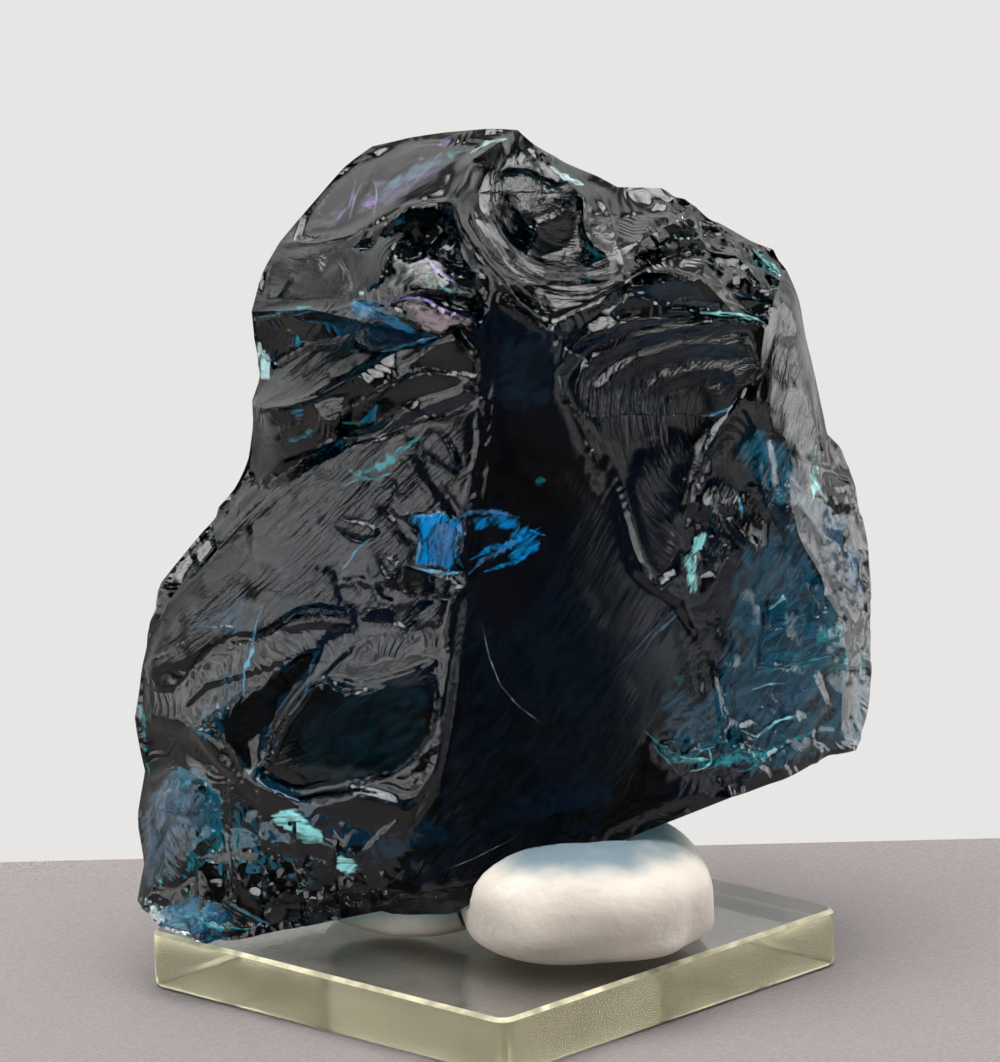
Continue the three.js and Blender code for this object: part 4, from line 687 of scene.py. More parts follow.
FLOWS = [  # fine hackle: kind, its direction in degrees or its centre, strength, size, outline
    ("line", 60, 0.1, 1, dots(-10, 669, 50, 638, 104, 482, 187, 358, 218, 254, 145, 161, 62, 99, -31, 57,
        -124, 41, -73, 161, -45, 316, -32, 399, -12, 565)),
    ("line", 43, 1, 1, dots(-373, 275, -363, 323, -315, 406, -246, 479, -190, 524, -86, 558, -21, 565,
        -24, 493, -41, 389, -52, 323, -142, 316, -190, 323, -280, 309, -315, 282)),
    ("line", 20, 0.08, 1, dots(-304, 233, -211, 303, -59, 303, -62, 233, -86, 164, -251, 173)),
    ("fan", (-14.9, 67.1), 1.4, 1, dots(-249, 711, -232, 724, -156, 735, -145, 683, -156, 667, -252, 655)),
    ("line", 37, 0.7, 1, dots(-256, 562, -235, 590, -189, 628, -146, 633, -109, 614, -138, 599, -187, 568,
        -249, 554)),
    ("ring", (7.4, 78.1), 1, 1, dots(-31, 752, -21, 814, 0, 839, 21, 835, 86, 787, 119, 766, 131, 717,
        133, 683, 83, 655, 48, 635, 21, 648, -14, 683)),
    ("line", 74, 1.4, 1, dots(277, 662, 287, 683, 311, 676, 337, 545, 349, 524, 332, 489, 287, 510,
        263, 552)),
    ("ring", (26.1, 55), 0.9, 1, dots(54, 636, 104, 650, 207, 654, 268, 642, 273, 596, 249, 565, 207, 482,
        182, 389, 161, 372, 145, 399, 122, 482, 93, 536, 59, 571)),
    ("line", 30, 0.22, 2.5, dots(-156, 814, -104, 835, -5, 835, -50, 794, -52, 773, -161, 735, -218, 725,
        -205, 757)),
    ("line", 62, 0.6, 1, dots(207, 482, 270, 555, 311, 482, 373, 441, 386, 316, 373, 207, 228, 207,
        197, 358)),
    ("ring", (-28, 14), 0.7, 1, dots(-373, 161, -349, 182, -308, 175, -280, 150, -290, 99, -325, 57,
        -367, 50, -373, 99)),
    ("fan", (-30.8, 5), 0.8, 1, dots(-356, 43, -325, 57, -280, 54, -221, 26, -280, 2, -342, 14)),
]


HACKLE_RUN, HACKLE_STEP, HACKLE_INWARD = 0.16, 1.6, 0.4  # waves to a mm: along a streak, across it, away
RING_ARC, FAN_ARC = 12, 9  # mm that stand for a radian round the centre of a ring or a fan
HACKLE_FROM, HACKLE_RIM, HACKLE_OUTSIDE = 0.3, 1.3, -1.5  # mm inside the outline


def streaked(mesh, show, front):
    """Stores how the fine hackle runs at each vertex: where it is along and across it, and how strong."""
    flow = np.zeros((len(show), 3))
    strong = np.zeros(len(show))
    for k, (kind, aim, strength, size, outline) in enumerate(FLOWS):
        near = near_box(show, front, outline, 2, MARK_FACING)
        deep = within(show[near, :2], outline)
        fresh = strength * smooth((deep - HACKLE_FROM) / HACKLE_RIM)
        mine = (deep > HACKLE_OUTSIDE) & (fresh >= strong[near])
        near, fresh = near[mine], fresh[mine]
        q = show[near]
        if kind == "line":
            a = math.radians(aim)
            along = q[:, 0] * math.cos(a) + q[:, 1] * math.sin(a)
            across = q[:, 1] * math.cos(a) - q[:, 0] * math.sin(a)
        else:
            off = q[:, :2] - np.array(aim)
            radius = np.hypot(off[:, 0], off[:, 1])
            angle = np.arctan2(off[:, 1], off[:, 0])
            along, across = (angle * RING_ARC, radius) if kind == "ring" else (radius, angle * FAN_ARC)
        inward = q[:, 2] * HACKLE_INWARD + 7 * k  # so that no two rows of FLOWS look alike
        flow[near] = np.stack([along * HACKLE_RUN, across * HACKLE_STEP, inward], 1) / size
        strong[near] = fresh
    write(mesh, "flow", "FLOAT_VECTOR", "POINT", flow)
    write(mesh, "streak", "FLOAT", "POINT", strong)


def chunk_mesh():
    mesh = baked(base_chunk(), "glass_chunk_fine", 1)
    refine(mesh)
    pairs = read(mesh.edges, "vertices", 2, np.int32)
    still = np.unique(long_runs(pairs[fracture_edges(mesh)], FRACTURE_RUN))
    co = store(mesh, averaged(read(mesh.vertices, "co", 3), pairs, EVEN_TIMES, still))
    show = calmed(seen(co), facing(mesh))
    co = store(mesh, averaged(unseen(show), pairs, CALM_TIMES, still))
    show = marked(seen(co), facing(mesh))
    co = store(mesh, unseen(show))
    co = store(mesh, crumbled(co, seen(co), mesh, facing(mesh)))
    rings(mesh, co / MM)
    streaked(mesh, seen(co), facing(mesh))
    mesh.update()
    return mesh


# ---- Materials ----
RAMP_INPUTS = ("Value", "From Min", "From Max", "To Min", "To Max")


class Nodes:
    """Small helpers for building one material's node tree."""

    def __init__(self, name):
        self.material = bpy.data.materials.new(name)
        self.material.use_nodes = True
        self.tree = self.material.node_tree
        self.tree.nodes.clear()
        self.out = self.add("ShaderNodeOutputMaterial")

    def add(self, kind, **settings):
        node = self.tree.nodes.new(kind)
        for key, value in settings.items():
            setattr(node, key, value)
        return node

    def link(self, source, target):
        self.tree.links.new(source, target)

    def put(self, socket, value):
        if isinstance(value, bpy.types.NodeSocket):
            self.link(value, socket)
        else:
            socket.default_value = value

    def where(self):
        """Object coordinates in mm."""
        scaled = self.add("ShaderNodeVectorMath", operation="SCALE")
        self.link(self.add("ShaderNodeTexCoord").outputs["Object"], scaled.inputs[0])
        scaled.inputs["Scale"].default_value = 1 / MM
        return scaled.outputs[0]

    def stored(self, name, output="Fac"):
        return self.add("ShaderNodeAttribute", attribute_name=name).outputs[output]

    def along(self, vector, way):
        node = self.add("ShaderNodeVectorMath", operation="DOT_PRODUCT")
        self.link(vector, node.inputs[0])
        node.inputs[1].default_value = way
        return node.outputs["Value"]

    def math(self, operation, a, b=0.0, c=0.0):
        node = self.add("ShaderNodeMath", operation=operation)
        for socket, value in zip(node.inputs, (a, b, c)):
            self.put(socket, value)
        return node.outputs[0]

    def times(self, a, b):
        return self.math("MULTIPLY", a, b)

    def noise(self, vector, size, detail=3.0, rough=0.55, warp=0.0):
        node = self.add("ShaderNodeTexNoise")
        self.put(node.inputs["Vector"], vector)
        node.inputs["Scale"].default_value = 1 / size
        node.inputs["Detail"].default_value = detail
        node.inputs["Roughness"].default_value = rough
        node.inputs["Distortion"].default_value = warp
        return node.outputs["Fac"]

    def ramp(self, value, low, high, to_low=0.0, to_high=1.0):
        """to_low where the value is low or less, to_high where it is high or more."""
        node = self.add("ShaderNodeMapRange", interpolation_type="SMOOTHSTEP")
        for key, v in zip(RAMP_INPUTS, (value, low, high, to_low, to_high)):
            self.put(node.inputs[key], v)
        return node.outputs["Result"]

    def mix(self, factor, a, b):
        node = self.add("ShaderNodeMix", data_type="RGBA")
        for socket, value in ((0, factor), (6, a), (7, b)):
            self.put(node.inputs[socket], value)
        return node.outputs[2]

    def bump(self, height, distance):
        """A normal from a height; distance in mm."""
        node = self.add("ShaderNodeBump")
        self.put(node.inputs["Height"], height)
        node.inputs["Distance"].default_value = distance * MM
        return node.outputs["Normal"]

    def surface(self, inputs):
        bsdf = self.add("ShaderNodeBsdfPrincipled")
        for key, value in inputs.items():
            self.put(bsdf.inputs[key], value)
        self.link(bsdf.outputs[0], self.out.inputs["Surface"])
        return self.material

    def clear(self, ior, rough, normal, colour, density):
        """Plain transmission; colour and density are what the inside takes from the light."""
        absorb = self.add("ShaderNodeVolumeAbsorption")
        absorb.inputs["Color"].default_value = (*colour, 1)
        absorb.inputs["Density"].default_value = density
        self.link(absorb.outputs[0], self.out.inputs["Volume"])
        return self.surface({
            "Base Color": (1, 1, 1, 1), "Transmission Weight": 1.0, "IOR": ior, "Roughness": rough,
            "Normal": normal,
        })


RING_STEP = 1.3  # mm from one ring to the next


def glass_material():
    """Dark glass with faint rings on each facet, and streaks of hackle where FLOWS has them instead."""
    n = Nodes("slag_glass")
    flow, streak = n.stored("flow", "Vector"), n.stored("streak")
    patchy = n.noise(n.where(), 6, 1, 0.5)
    radius = n.math("MULTIPLY_ADD", patchy, 9.0, n.stored("ring"))
    wave = n.math("SINE", n.times(radius, 2 * math.pi / RING_STEP))
    plain = n.ramp(streak, 0.0, 0.1, 0.03, 0.0)
    both = n.math("ADD", n.noise(flow, 1.0, 3, 0.62), n.noise(flow, 5.0, 1, 0.5, 0.4))
    hackle = n.times(n.times(both, streak), n.ramp(patchy, 0.38, 0.62, 0.25, 1.0))
    normal = n.bump(n.math("MULTIPLY_ADD", wave, plain, hackle), 0.5)
    return n.clear(1.52, 0.03, normal, colour=(0.0, 0.817, 0.858), density=780.0)


def acrylic_material():
    n = Nodes("clear_acrylic")
    scratched = n.bump(n.noise(n.where(), 1.2, 2, 0.6, 3.0), 0.01)
    return n.clear(1.49, 0.04, scratched, colour=(0.97, 0.93, 0.2), density=9.0)


def highlight_material(name, size, least, most):
    """Painted light on the acrylic's rim: a pale band in patches of a size in mm, of which the thinnest and
    the densest hide so much.
    """
    n = Nodes(name)
    breakup = n.noise(n.where(), size, 2, 0.4)
    hidden = n.ramp(breakup, 0.30, 0.70, least, most)
    return n.surface({"Base Color": (0.78, 0.73, 0.50, 1), "Roughness": 0.35, "Alpha": hidden})


GLASS_SHADE_SPAN = (16.2, 18.6)  # height in mm over which the putty darkens to the blue of the glass above it: a painted shadow, as if lit only through the glass


def putty_material():
    n = Nodes("display_putty")
    at = n.where()
    kneaded = n.math("MULTIPLY_ADD", n.noise(at, 3.4, 2, 0.5, 0.4), 3.4, n.noise(at, 0.5, 4, 0.6))
    height = n.add("ShaderNodeSeparateXYZ")
    n.link(at, height.inputs[0])
    shade_height = n.math("MULTIPLY_ADD", n.noise(at, 5.0, 2), 2.4, height.outputs["Z"])
    tone = n.mix(n.noise(at, 4, 3), (0.58, 0.52, 0.45, 1), (0.73, 0.67, 0.59, 1))
    return n.surface({
        # painted shadow: the putty's top turns dark blue where the glass shades it
        "Base Color": n.mix(n.ramp(shade_height, *GLASS_SHADE_SPAN, 0.0, 0.92), tone, (0.07, 0.14, 0.18, 1)),
        "Roughness": 0.6, "Subsurface Weight": 0.3, "Subsurface Radius": (1.0, 0.9, 0.8),
        "Subsurface Scale": 1 * MM, "Normal": n.bump(kneaded, 0.08),
    })


THREAD = 0.62  # mm from thread to thread
THREAD_TURN = 0.35  # how the cloth lies, in radians


def cloth_material():
    n = Nodes("cloth")
    at = n.where()
    threads = []
    for turn in (THREAD_TURN, THREAD_TURN + math.pi / 2):
        across = n.along(at, (math.cos(turn), math.sin(turn), 0))
        threads.append(n.math("SINE", n.times(across, 2 * math.pi / THREAD)))
    cross = n.math("MULTIPLY_ADD", n.times(*threads), 0.22, 0.5)
    weave = n.math("ADD", n.times(cross, 0.6), n.times(n.noise(at, 0.5, 3, 0.7), 0.45))
    tone = n.mix(weave, (0.070, 0.061, 0.059, 1), (0.335, 0.300, 0.294, 1))
    return n.surface({"Base Color": tone, "Roughness": 0.9, "Normal": n.bump(weave, 0.15)})


# ---- Veils: thin coloured films and trails shut in the glass just under its skin; the black films are painted shade, every glowing film adds painted light, and the lilac, violet, rose and pale grey films are painted sheen ----
TINTS = {
    "pale": (0.42, 0.80, 0.80), "frost": (0.62, 0.82, 0.82), "teal": (0.02, 0.36, 0.42),
    "sea": (0.15, 0.50, 0.48), "blue": (0.01, 0.22, 0.42), "bright": (0.0, 0.27, 0.62),
    "sky": (0.10, 0.45, 0.72), "steel": (0.10, 0.20, 0.33), "deep": (0.01, 0.12, 0.20),
    "navy": (0.02, 0.05, 0.10), "dusk": (0.012, 0.06, 0.11), "lilac": (0.45, 0.42, 0.65),
    "violet": (0.30, 0.18, 0.50), "beige": (0.42, 0.38, 0.34), "rose": (0.42, 0.22, 0.26),
    # the near-black tint is painted shade: films put where the glass looks black
    "ink": (0.003, 0.005, 0.008), "azure": (0.10, 0.26, 0.52), "dust": (0.36, 0.37, 0.40),
}
# painted light: how brightly each tint glows, in place of light that reaches the films through the glass
PAINTED_GLOW = {
    "pale": 0.4, "frost": 0.3, "teal": 0.22, "bright": 0.45, "azure": 0.2, "sky": 0.3, "blue": 0.25,
    "steel": 0.2, "deep": 0.35, "lilac": 0.3, "dust": 0.3, "violet": 0.5, "rose": 0.15,
}
SOLID = {"ink": 1.0, "pale": 0.5, "frost": 0.55}  # how much the middle of a film closes up
SOLID_ELSE = 0.36
PATCHES = [  # tint, how dense, depth under the surface, run of its streaks in degrees, outline
    ("pale", 0.95, 0.2, 0, dots(-242, 136, -228, 143, -201, 137, -187, 127, -179, 109, -165, 96, -151, 89,
        -146, 78, -156, 70, -168, 76, -176, 94, -187, 104, -201, 103, -215, 115, -232, 126)),
    ("steel", 0.4, 0.3, 60, dots(-368, 164, -342, 182, -323, 175, -309, 154, -304, 126, -313, 107,
        -328, 102, -342, 71, -356, 50, -368, 57, -373, 92, -371, 133)),
    ("blue", 0.6, 0.4, 50, dots(-356, 43, -325, 57, -290, 52, -280, 29, -290, 9, -318, 2, -342, 15)),
    ("teal", 0.95, 0.2, 0, dab(-33.02, 1.81, 1.21)),
    ("bright", 0.85, 0.2, 78, dots(-98, 446, -57, 448, -52, 439, -41, 446, -36, 430, -41, 406, -45, 392,
        -35, 388, -41, 383, -73, 386, -90, 392, -91, 399, -84, 417, -90, 434)),
    ("azure", 0.6, 0.12, 80, dots(-71, 430, -57, 439, -43, 430, -47, 396, -62, 392, -71, 399, -74, 413)),
    ("bright", 0.6, 0.4, 35, dots(-35, 448, -10, 454, 17, 449, 50, 430, 43, 408, 21, 393, 5, 399, 12, 420,
        -5, 430, -31, 430)),
    ("blue", 0.95, 0.25, -25, dots(-170, 651, -152, 670, -131, 667, -111, 656, -82, 636, -90, 634,
        -118, 641, -138, 648, -156, 648)),
    ("frost", 0.9, 0.2, 0, dots(-252, 614, -244, 618, -237, 607, -241, 582, -251, 589)),
    ("blue", 0.85, 0.3, 50, dots(-151, 539, -138, 556, -124, 573, -120, 562, -131, 544, -142, 536)),
    ("blue", 0.7, 0.3, 10, dots(-234, 550, -218, 556, -199, 556, -204, 544, -221, 543)),
    ("frost", 0.85, 0.12, 0, dots(-144, 805, -131, 814, -124, 825, -126, 807, -121, 798, -131, 793,
        -138, 798)),
    ("violet", 0.65, 0.12, 0, dots(-146, 772, -131, 780, -127, 769, -138, 758, -147, 762)),
    ("ink", 1, 0.6, 0, dots(-166, 572, -124, 590, -97, 607, -66, 628, -48, 635, -21, 617, -21, 579,
        -55, 562, -90, 555, -118, 538, -138, 527, -166, 524)),
    ("beige", 0.55, 0.15, 30, dots(-121, 683, -107, 704, -83, 717, -71, 714, -62, 693, -27, 675, -31, 671,
        -62, 680, -90, 677, -114, 668)),
    ("rose", 0.6, 0.15, -25, dots(-112, 664, -93, 673, -73, 667, -48, 652, -28, 655, -22, 641, -48, 641,
        -62, 634, -77, 635, -93, 651)),
    ("frost", 0.8, 0.3, 0, dab(-14.25, 67.51, 0.28)),
    ("pale", 0.95, 0.2, 0, dots(287, 677, 283, 672, 277, 672, 274, 677, 277, 683, 283, 683)),
    ("navy", 0.45, 0.8, 40, dots(0, 635, 48, 648, 80, 614, 52, 558, 7, 545, -28, 579)),
    ("sky", 0.9, 0.3, 0, dab(11.25, 65.77, 0.25)),
    ("sky", 0.9, 0.3, 0, dab(11.88, 66.13, 0.19)),
    ("steel", 0.65, 0.6, 80, dots(315, 458, 342, 465, 370, 434, 381, 406, 382, 337, 360, 330, 349, 365,
        328, 399)),
    ("pale", 0.8, 0.25, 75, dots(209, 437, 220, 427, 205, 406, 210, 386, 201, 347, 190, 371, 187, 399,
        194, 419)),
    ("deep", 0.85, 0.7, 20, dots(273, 351, 315, 368, 346, 337, 339, 295, 301, 289, 266, 289)),
    ("teal", 0.6, 0.4, 10, dots(301, 303, 342, 306, 360, 320, 381, 316, 382, 278, 356, 280, 328, 282,
        297, 282)),
    ("steel", 0.35, 0.8, 40, dots(242, 288, 273, 291, 342, 288, 328, 251, 284, 223, 256, 209, 239, 233)),
    ("deep", 0.7, 0.5, 60, dots(349, 275, 377, 282, 381, 233, 363, 207, 328, 213, 339, 247)),
    ("teal", 0.35, 0.8, 0, dab(18.31, 27.48, 0.91)),
    ("pale", 0.8, 0.2, 0, dots(284, 358, 297, 362, 295, 354, 286, 350)),
    ("ink", 1, 0.45, 0, dots(-301, 232, -270, 258, -246, 268, -235, 287, -211, 303, -189, 306, -195, 289,
        -214, 263, -230, 240, -239, 216, -254, 178, -270, 185, -284, 206)),
    ("ink", 0.8, 0.5, 0, dots(-180, 278, -163, 266, -135, 271, -107, 278, -83, 271, -76, 247, -90, 213,
        -111, 185, -142, 169, -211, 164, -247, 176, -233, 216, -219, 244, -199, 268)),
    ("ink", 0.9, 0.5, 0, dots(-373, 282, -363, 296, -315, 323, -270, 323, -211, 348, -163, 351, -159, 337,
        -211, 330, -252, 309, -304, 303, -339, 261, -363, 247)),
    ("ink", 0.9, 0.8, 0, dots(-259, 524, -218, 538, -163, 552, -107, 565, -107, 541, -163, 517, -204, 493,
        -246, 458, -297, 406, -346, 351, -363, 337, -360, 372, -315, 420, -270, 475)),
    ("ink", 1, 0.5, 0, dots(-114, 368, -118, 379, -97, 393, -73, 384, -68, 379, -73, 364, -90, 363,
        -107, 368)),
    # painted sheen: faint lilac and grey films stand in for the crown's iridescent reflections
    ("lilac", 0.14, 0.1, 35, dots(-156, 752, -150, 773, -138, 790, -114, 800, -76, 818, -41, 825, -55, 804,
        -90, 781, -121, 756, -145, 745)),
    ("dust", 0.15, 0.1, 20, dots(-249, 717, -232, 742, -201, 773, -166, 797, -145, 807, -149, 780,
        -166, 742, -201, 730)),
    ("ink", 1, 0.7, 0, dots(-154, 723, -124, 747, -103, 761, -95, 769, -64, 770, -41, 742, -21, 700,
        -16, 662, -21, 635, -62, 631, -90, 635, -114, 662, -124, 683, -142, 686)),
    ("ink", 1, 1.6, 0, dots(-59, 776, -41, 804, -24, 821, 12, 835, 24, 835, 38, 818, 55, 800, 86, 783,
        104, 769, 118, 738, 126, 711, 128, 685, 100, 669, 76, 659, 55, 648, 50, 638, 14, 666, -24, 711,
        -41, 728, -52, 752)),
    ("ink", 1, 0.9, 0, dots(-21, 800, 0, 835, 21, 835, 45, 818, 86, 787, 118, 766, 131, 717, 133, 683,
        83, 655, 48, 635, 21, 648, -14, 683, -31, 742)),
    ("ink", 0.9, 0.8, 0, dots(131, 717, 159, 752, 194, 745, 221, 711, 207, 690, 159, 690, 133, 686)),
    ("teal", 0.7, 0.3, 0, dots(328, 330, 356, 341, 370, 323, 356, 303, 332, 306)),
    ("deep", 0.8, 0.5, 60, dots(263, 538, 297, 524, 315, 489, 328, 441, 287, 455, 252, 489, 239, 524)),
    ("azure", 0.35, 0.35, 70, dots(309, 458, 328, 462, 342, 441, 356, 420, 373, 399, 377, 365, 363, 358,
        349, 386, 328, 406)),
    ("steel", 0.35, 0.9, 20, dots(156, 261, 197, 271, 225, 247, 211, 213, 163, 220)),
    ("deep", 0.6, 0.9, 60, dots(244, 415, 301, 441, 342, 462, 371, 399, 380, 316, 382, 254, 376, 207,
        311, 182, 249, 166, 197, 192, 166, 207, 207, 265, 228, 316, 233, 368)),
    ("deep", 0.07, 0.3, 30, dots(-207, 223, -161, 283, -78, 287, -71, 244, -79, 192, -108, 167, -176, 163,
        -223, 176)),
    ("ink", 1, 0.3, 0, dots(-367, 316, -348, 335, -311, 331, -274, 316, -270, 285, -299, 252, -322, 215,
        -353, 221, -367, 254)),
    ("dusk", 0.5, 3.5, 50, dots(-39, 399, 0, 337, 62, 399, 124, 337, 197, 358, 214, 265, 156, 211, 145, 161,
        62, 103, -31, 63, -112, 49, -124, 67, -73, 156, -56, 231, -47, 316)),
    ("teal", 0.5, 0.6, 0, dab(4.15, 48.03, 0.65)),
    ("teal", 0.4, 0.6, 0, dab(0.71, 46.17, 0.51)),
]
THREADS = [  # tint, width, how dense, depth, line; the short pale and teal trails on the broken right rim are partly the glass's own streaks, partly painted glints
    ("steel", 0.9, 0.6, 0.2, dots(-363, 119, -346, 133, -325, 130, -309, 116)),
    ("sky", 0.35, 0.5, 0.2, dots(-360, 150, -342, 161, -320, 154)),
    ("teal", 0.55, 0.7, 0.2, dots(-342, 40, -318, 26, -290, 16, -256, 17)),
    ("sky", 0.35, 0.5, 0.2, dots(-280, 43, -256, 29, -239, 22)),
    ("teal", 0.76, 0.7, 0.25, dots(-375, 251, -369, 230, -367, 195, -363, 175)),
    ("sky", 0.41, 0.9, 0.25, dots(-293, 251, -289, 235)),
    ("sky", 0.41, 0.7, 0.15, dots(-90, 392, -73, 388, -55, 385, -38, 387)),
    ("bright", 0.83, 0.8, 0.2, dots(-31, 399, -10, 412, 12, 415, 31, 428, 47, 425)),
    ("azure", 0.73, 0.8, 0.2, dots(-33, 384, -19, 399, 0, 408, 17, 420, 21, 439)),
    ("bright", 0.52, 0.8, 0.2, dots(-17, 387, 0, 393, 21, 399, 33, 410)),
    ("azure", 0.62, 0.8, 0.2, dots(-50, 441, -31, 449, -5, 449, 21, 443)),
    ("teal", 1.04, 0.9, 0.25, dots(-163, 474, -142, 490, -121, 497, -97, 516, -82, 527)),
    ("teal", 0.62, 0.8, 0.25, dots(-157, 493, -135, 482, -112, 489)),
    ("sky", 0.31, 0.9, 0.25, dots(-163, 389, -149, 409, -131, 424)),
    ("sky", 0.45, 0.9, 0.25, dots(-247, 347, -255, 323, -257, 303, -266, 282, -265, 257)),
    ("blue", 0.45, 0.9, 0.25, dots(-188, 306, -196, 289, -201, 260)),
    ("teal", 0.41, 0.9, 0.25, dots(-293, 251, -288, 236)),
    ("teal", 0.83, 0.8, 0.25, dots(-373, 258, -369, 232)),
    ("teal", 0.9, 0.6, 0.25, dots(-218, 523, -190, 535)),
    ("teal", 0.62, 0.6, 0.25, dots(-163, 542, -128, 544)),
    ("blue", 0.55, 0.9, 0.25, dots(-123, 615, -90, 623, -65, 631)),
    ("teal", 0.55, 0.7, 0.25, dots(-250, 651, -225, 657, -196, 662)),
    ("lilac", 0.28, 0.4, 0.12, dots(-131, 794, -127, 781, -131, 755)),
    ("lilac", 0.24, 0.35, 0.12, dots(-143, 790, -151, 773, -156, 752)),
    ("sea", 1.04, 0.4, 0.12, dots(-127, 779, -104, 793, -76, 807, -48, 821, -31, 825)),
    ("violet", 0.62, 0.5, 0.12, dots(-64, 829, -50, 835)),
    ("violet", 0.48, 0.35, 0.15, dots(-121, 778, -97, 794, -76, 800)),
    ("frost", 0.35, 0.5, 0.12, dots(-31, 821, -14, 832, 7, 836)),
    ("sea", 0.41, 0.6, 0.12, dots(-90, 700, -73, 686, -48, 678, -28, 676)),
    ("violet", 0.45, 0.6, 0.12, dots(-76, 715, -66, 700, -45, 686)),
    ("violet", 0.38, 0.7, 0.12, dots(-112, 666, -97, 672, -76, 669, -55, 657, -30, 648)),
    ("frost", 0.55, 0.8, 0.12, dots(52, 808, 69, 795, 87, 788)),
    ("pale", 0.28, 0.8, 0.15, dots(207, 656, 242, 655, 259, 652, 275, 645)),
    ("sky", 0.48, 0.9, 0.25, dots(217, 548, 228, 554, 240, 556)),
    ("pale", 0.9, 0.75, 0.2, dots(328, 520, 327, 493, 324, 462)),
    ("teal", 1.18, 0.6, 0.35, dots(149, 223, 180, 195, 218, 188, 249, 196, 277, 188)),
    ("pale", 0.35, 0.7, 0.2, dots(187, 195, 218, 192)),
    ("steel", 0.35, 0.7, 0.3, dots(142, 295, 159, 320, 184, 343)),
    ("sky", 0.48, 0.6, 0.2, dots(242, 472, 249, 458, 251, 441)),
    ("lilac", 0.69, 0.25, 0.12, dots(-239, 724, -218, 752, -190, 776, -166, 794)),
    ("violet", 0.35, 0.35, 0.12, dots(-180, 742, -156, 766, -149, 794)),
    ("teal", 0.76, 0.6, 0.3, dots(221, 195, 249, 202, 273, 195, 301, 213, 328, 223)),
    ("pale", 0.31, 0.6, 0.2, dots(249, 223, 266, 216, 287, 232, 315, 240)),
    ("teal", 0.31, 0.8, 0.2, dots(171, 195, 184, 189, 197, 194, 210, 202, 223, 206)),
    ("teal", 0.31, 0.8, 0.2, dots(160, 206, 168, 197, 178, 186)),
    ("pale", 0.26, 0.7, 0.2, dots(197, 180, 211, 183, 220, 190, 216, 204)),
    ("teal", 0.41, 0.8, 0.2, dots(246, 180, 259, 183, 270, 190, 276, 195)),
    ("teal", 0.36, 0.8, 0.25, dots(282, 285, 301, 291, 324, 296, 342, 300)),
    ("pale", 0.21, 0.6, 0.2, dots(261, 265, 278, 271, 294, 272)),
    ("teal", 0.62, 0.8, 0.2, dots(365, 315, 373, 306, 380, 298, 372, 281)),
    ("pale", 0.52, 0.8, 0.2, dots(324, 494, 328, 475, 338, 462)),
    ("teal", 0.73, 0.8, 0.25, dots(330, 513, 324, 493, 326, 472)),
    ("pale", 0.31, 0.7, 0.2, dots(279, 348, 288, 356, 294, 363)),
    ("steel", 0.17, 0.6, 0.3, dots(111, 278, 140, 306, 161, 329, 182, 349)),
    # painted sheen: pale grey trails along the ridges
    ("dust", 0.17, 0.7, 0.15, dots(-18, 332, -12, 301, 0, 270, 19, 248, 43, 230)),
    ("dust", 0.12, 0.4, 0.15, dots(-57, 78, -31, 88, 21, 114)),
]
VEIL_THICK = 0.1  # mm
SMALL = 16.0  # a film whose box is smaller, in square mm, isn't left to chance
PATCH_STEP = 0.45  # mm from point to point in a film
THREAD_STEP = 0.35  # and along a trail
SEARCH = 60  # mm before and behind the show plane within which all the glass lies
TORN = 1.2  # a film is left open where the skin drops more than this from corner to corner
SPILL, WAVER, WAVE = 0.3, 0.7, 1.6  # mm a film spills over its outline, its rim wavers, and from wave to wave
WISP_RUN, WISP_STEP = 0.35, 1.2  # waves to a mm: along a film's streaks and across them
TRAIL_RUN, TRAIL_STEP = 0.8, 0.7  # the same for a trail, across it from its middle to its side


def skin_depth(tree, u, w):
    """How far away the chunk's skin is at a place on the show plane, or None beside it."""
    start, end = place(u, w, -SEARCH), place(u, w, SEARCH)
    hit = tree.ray_cast(start, (end - start).normalized())[0]
    return None if hit is None else float(seen(np.array([hit]))[0, 2])


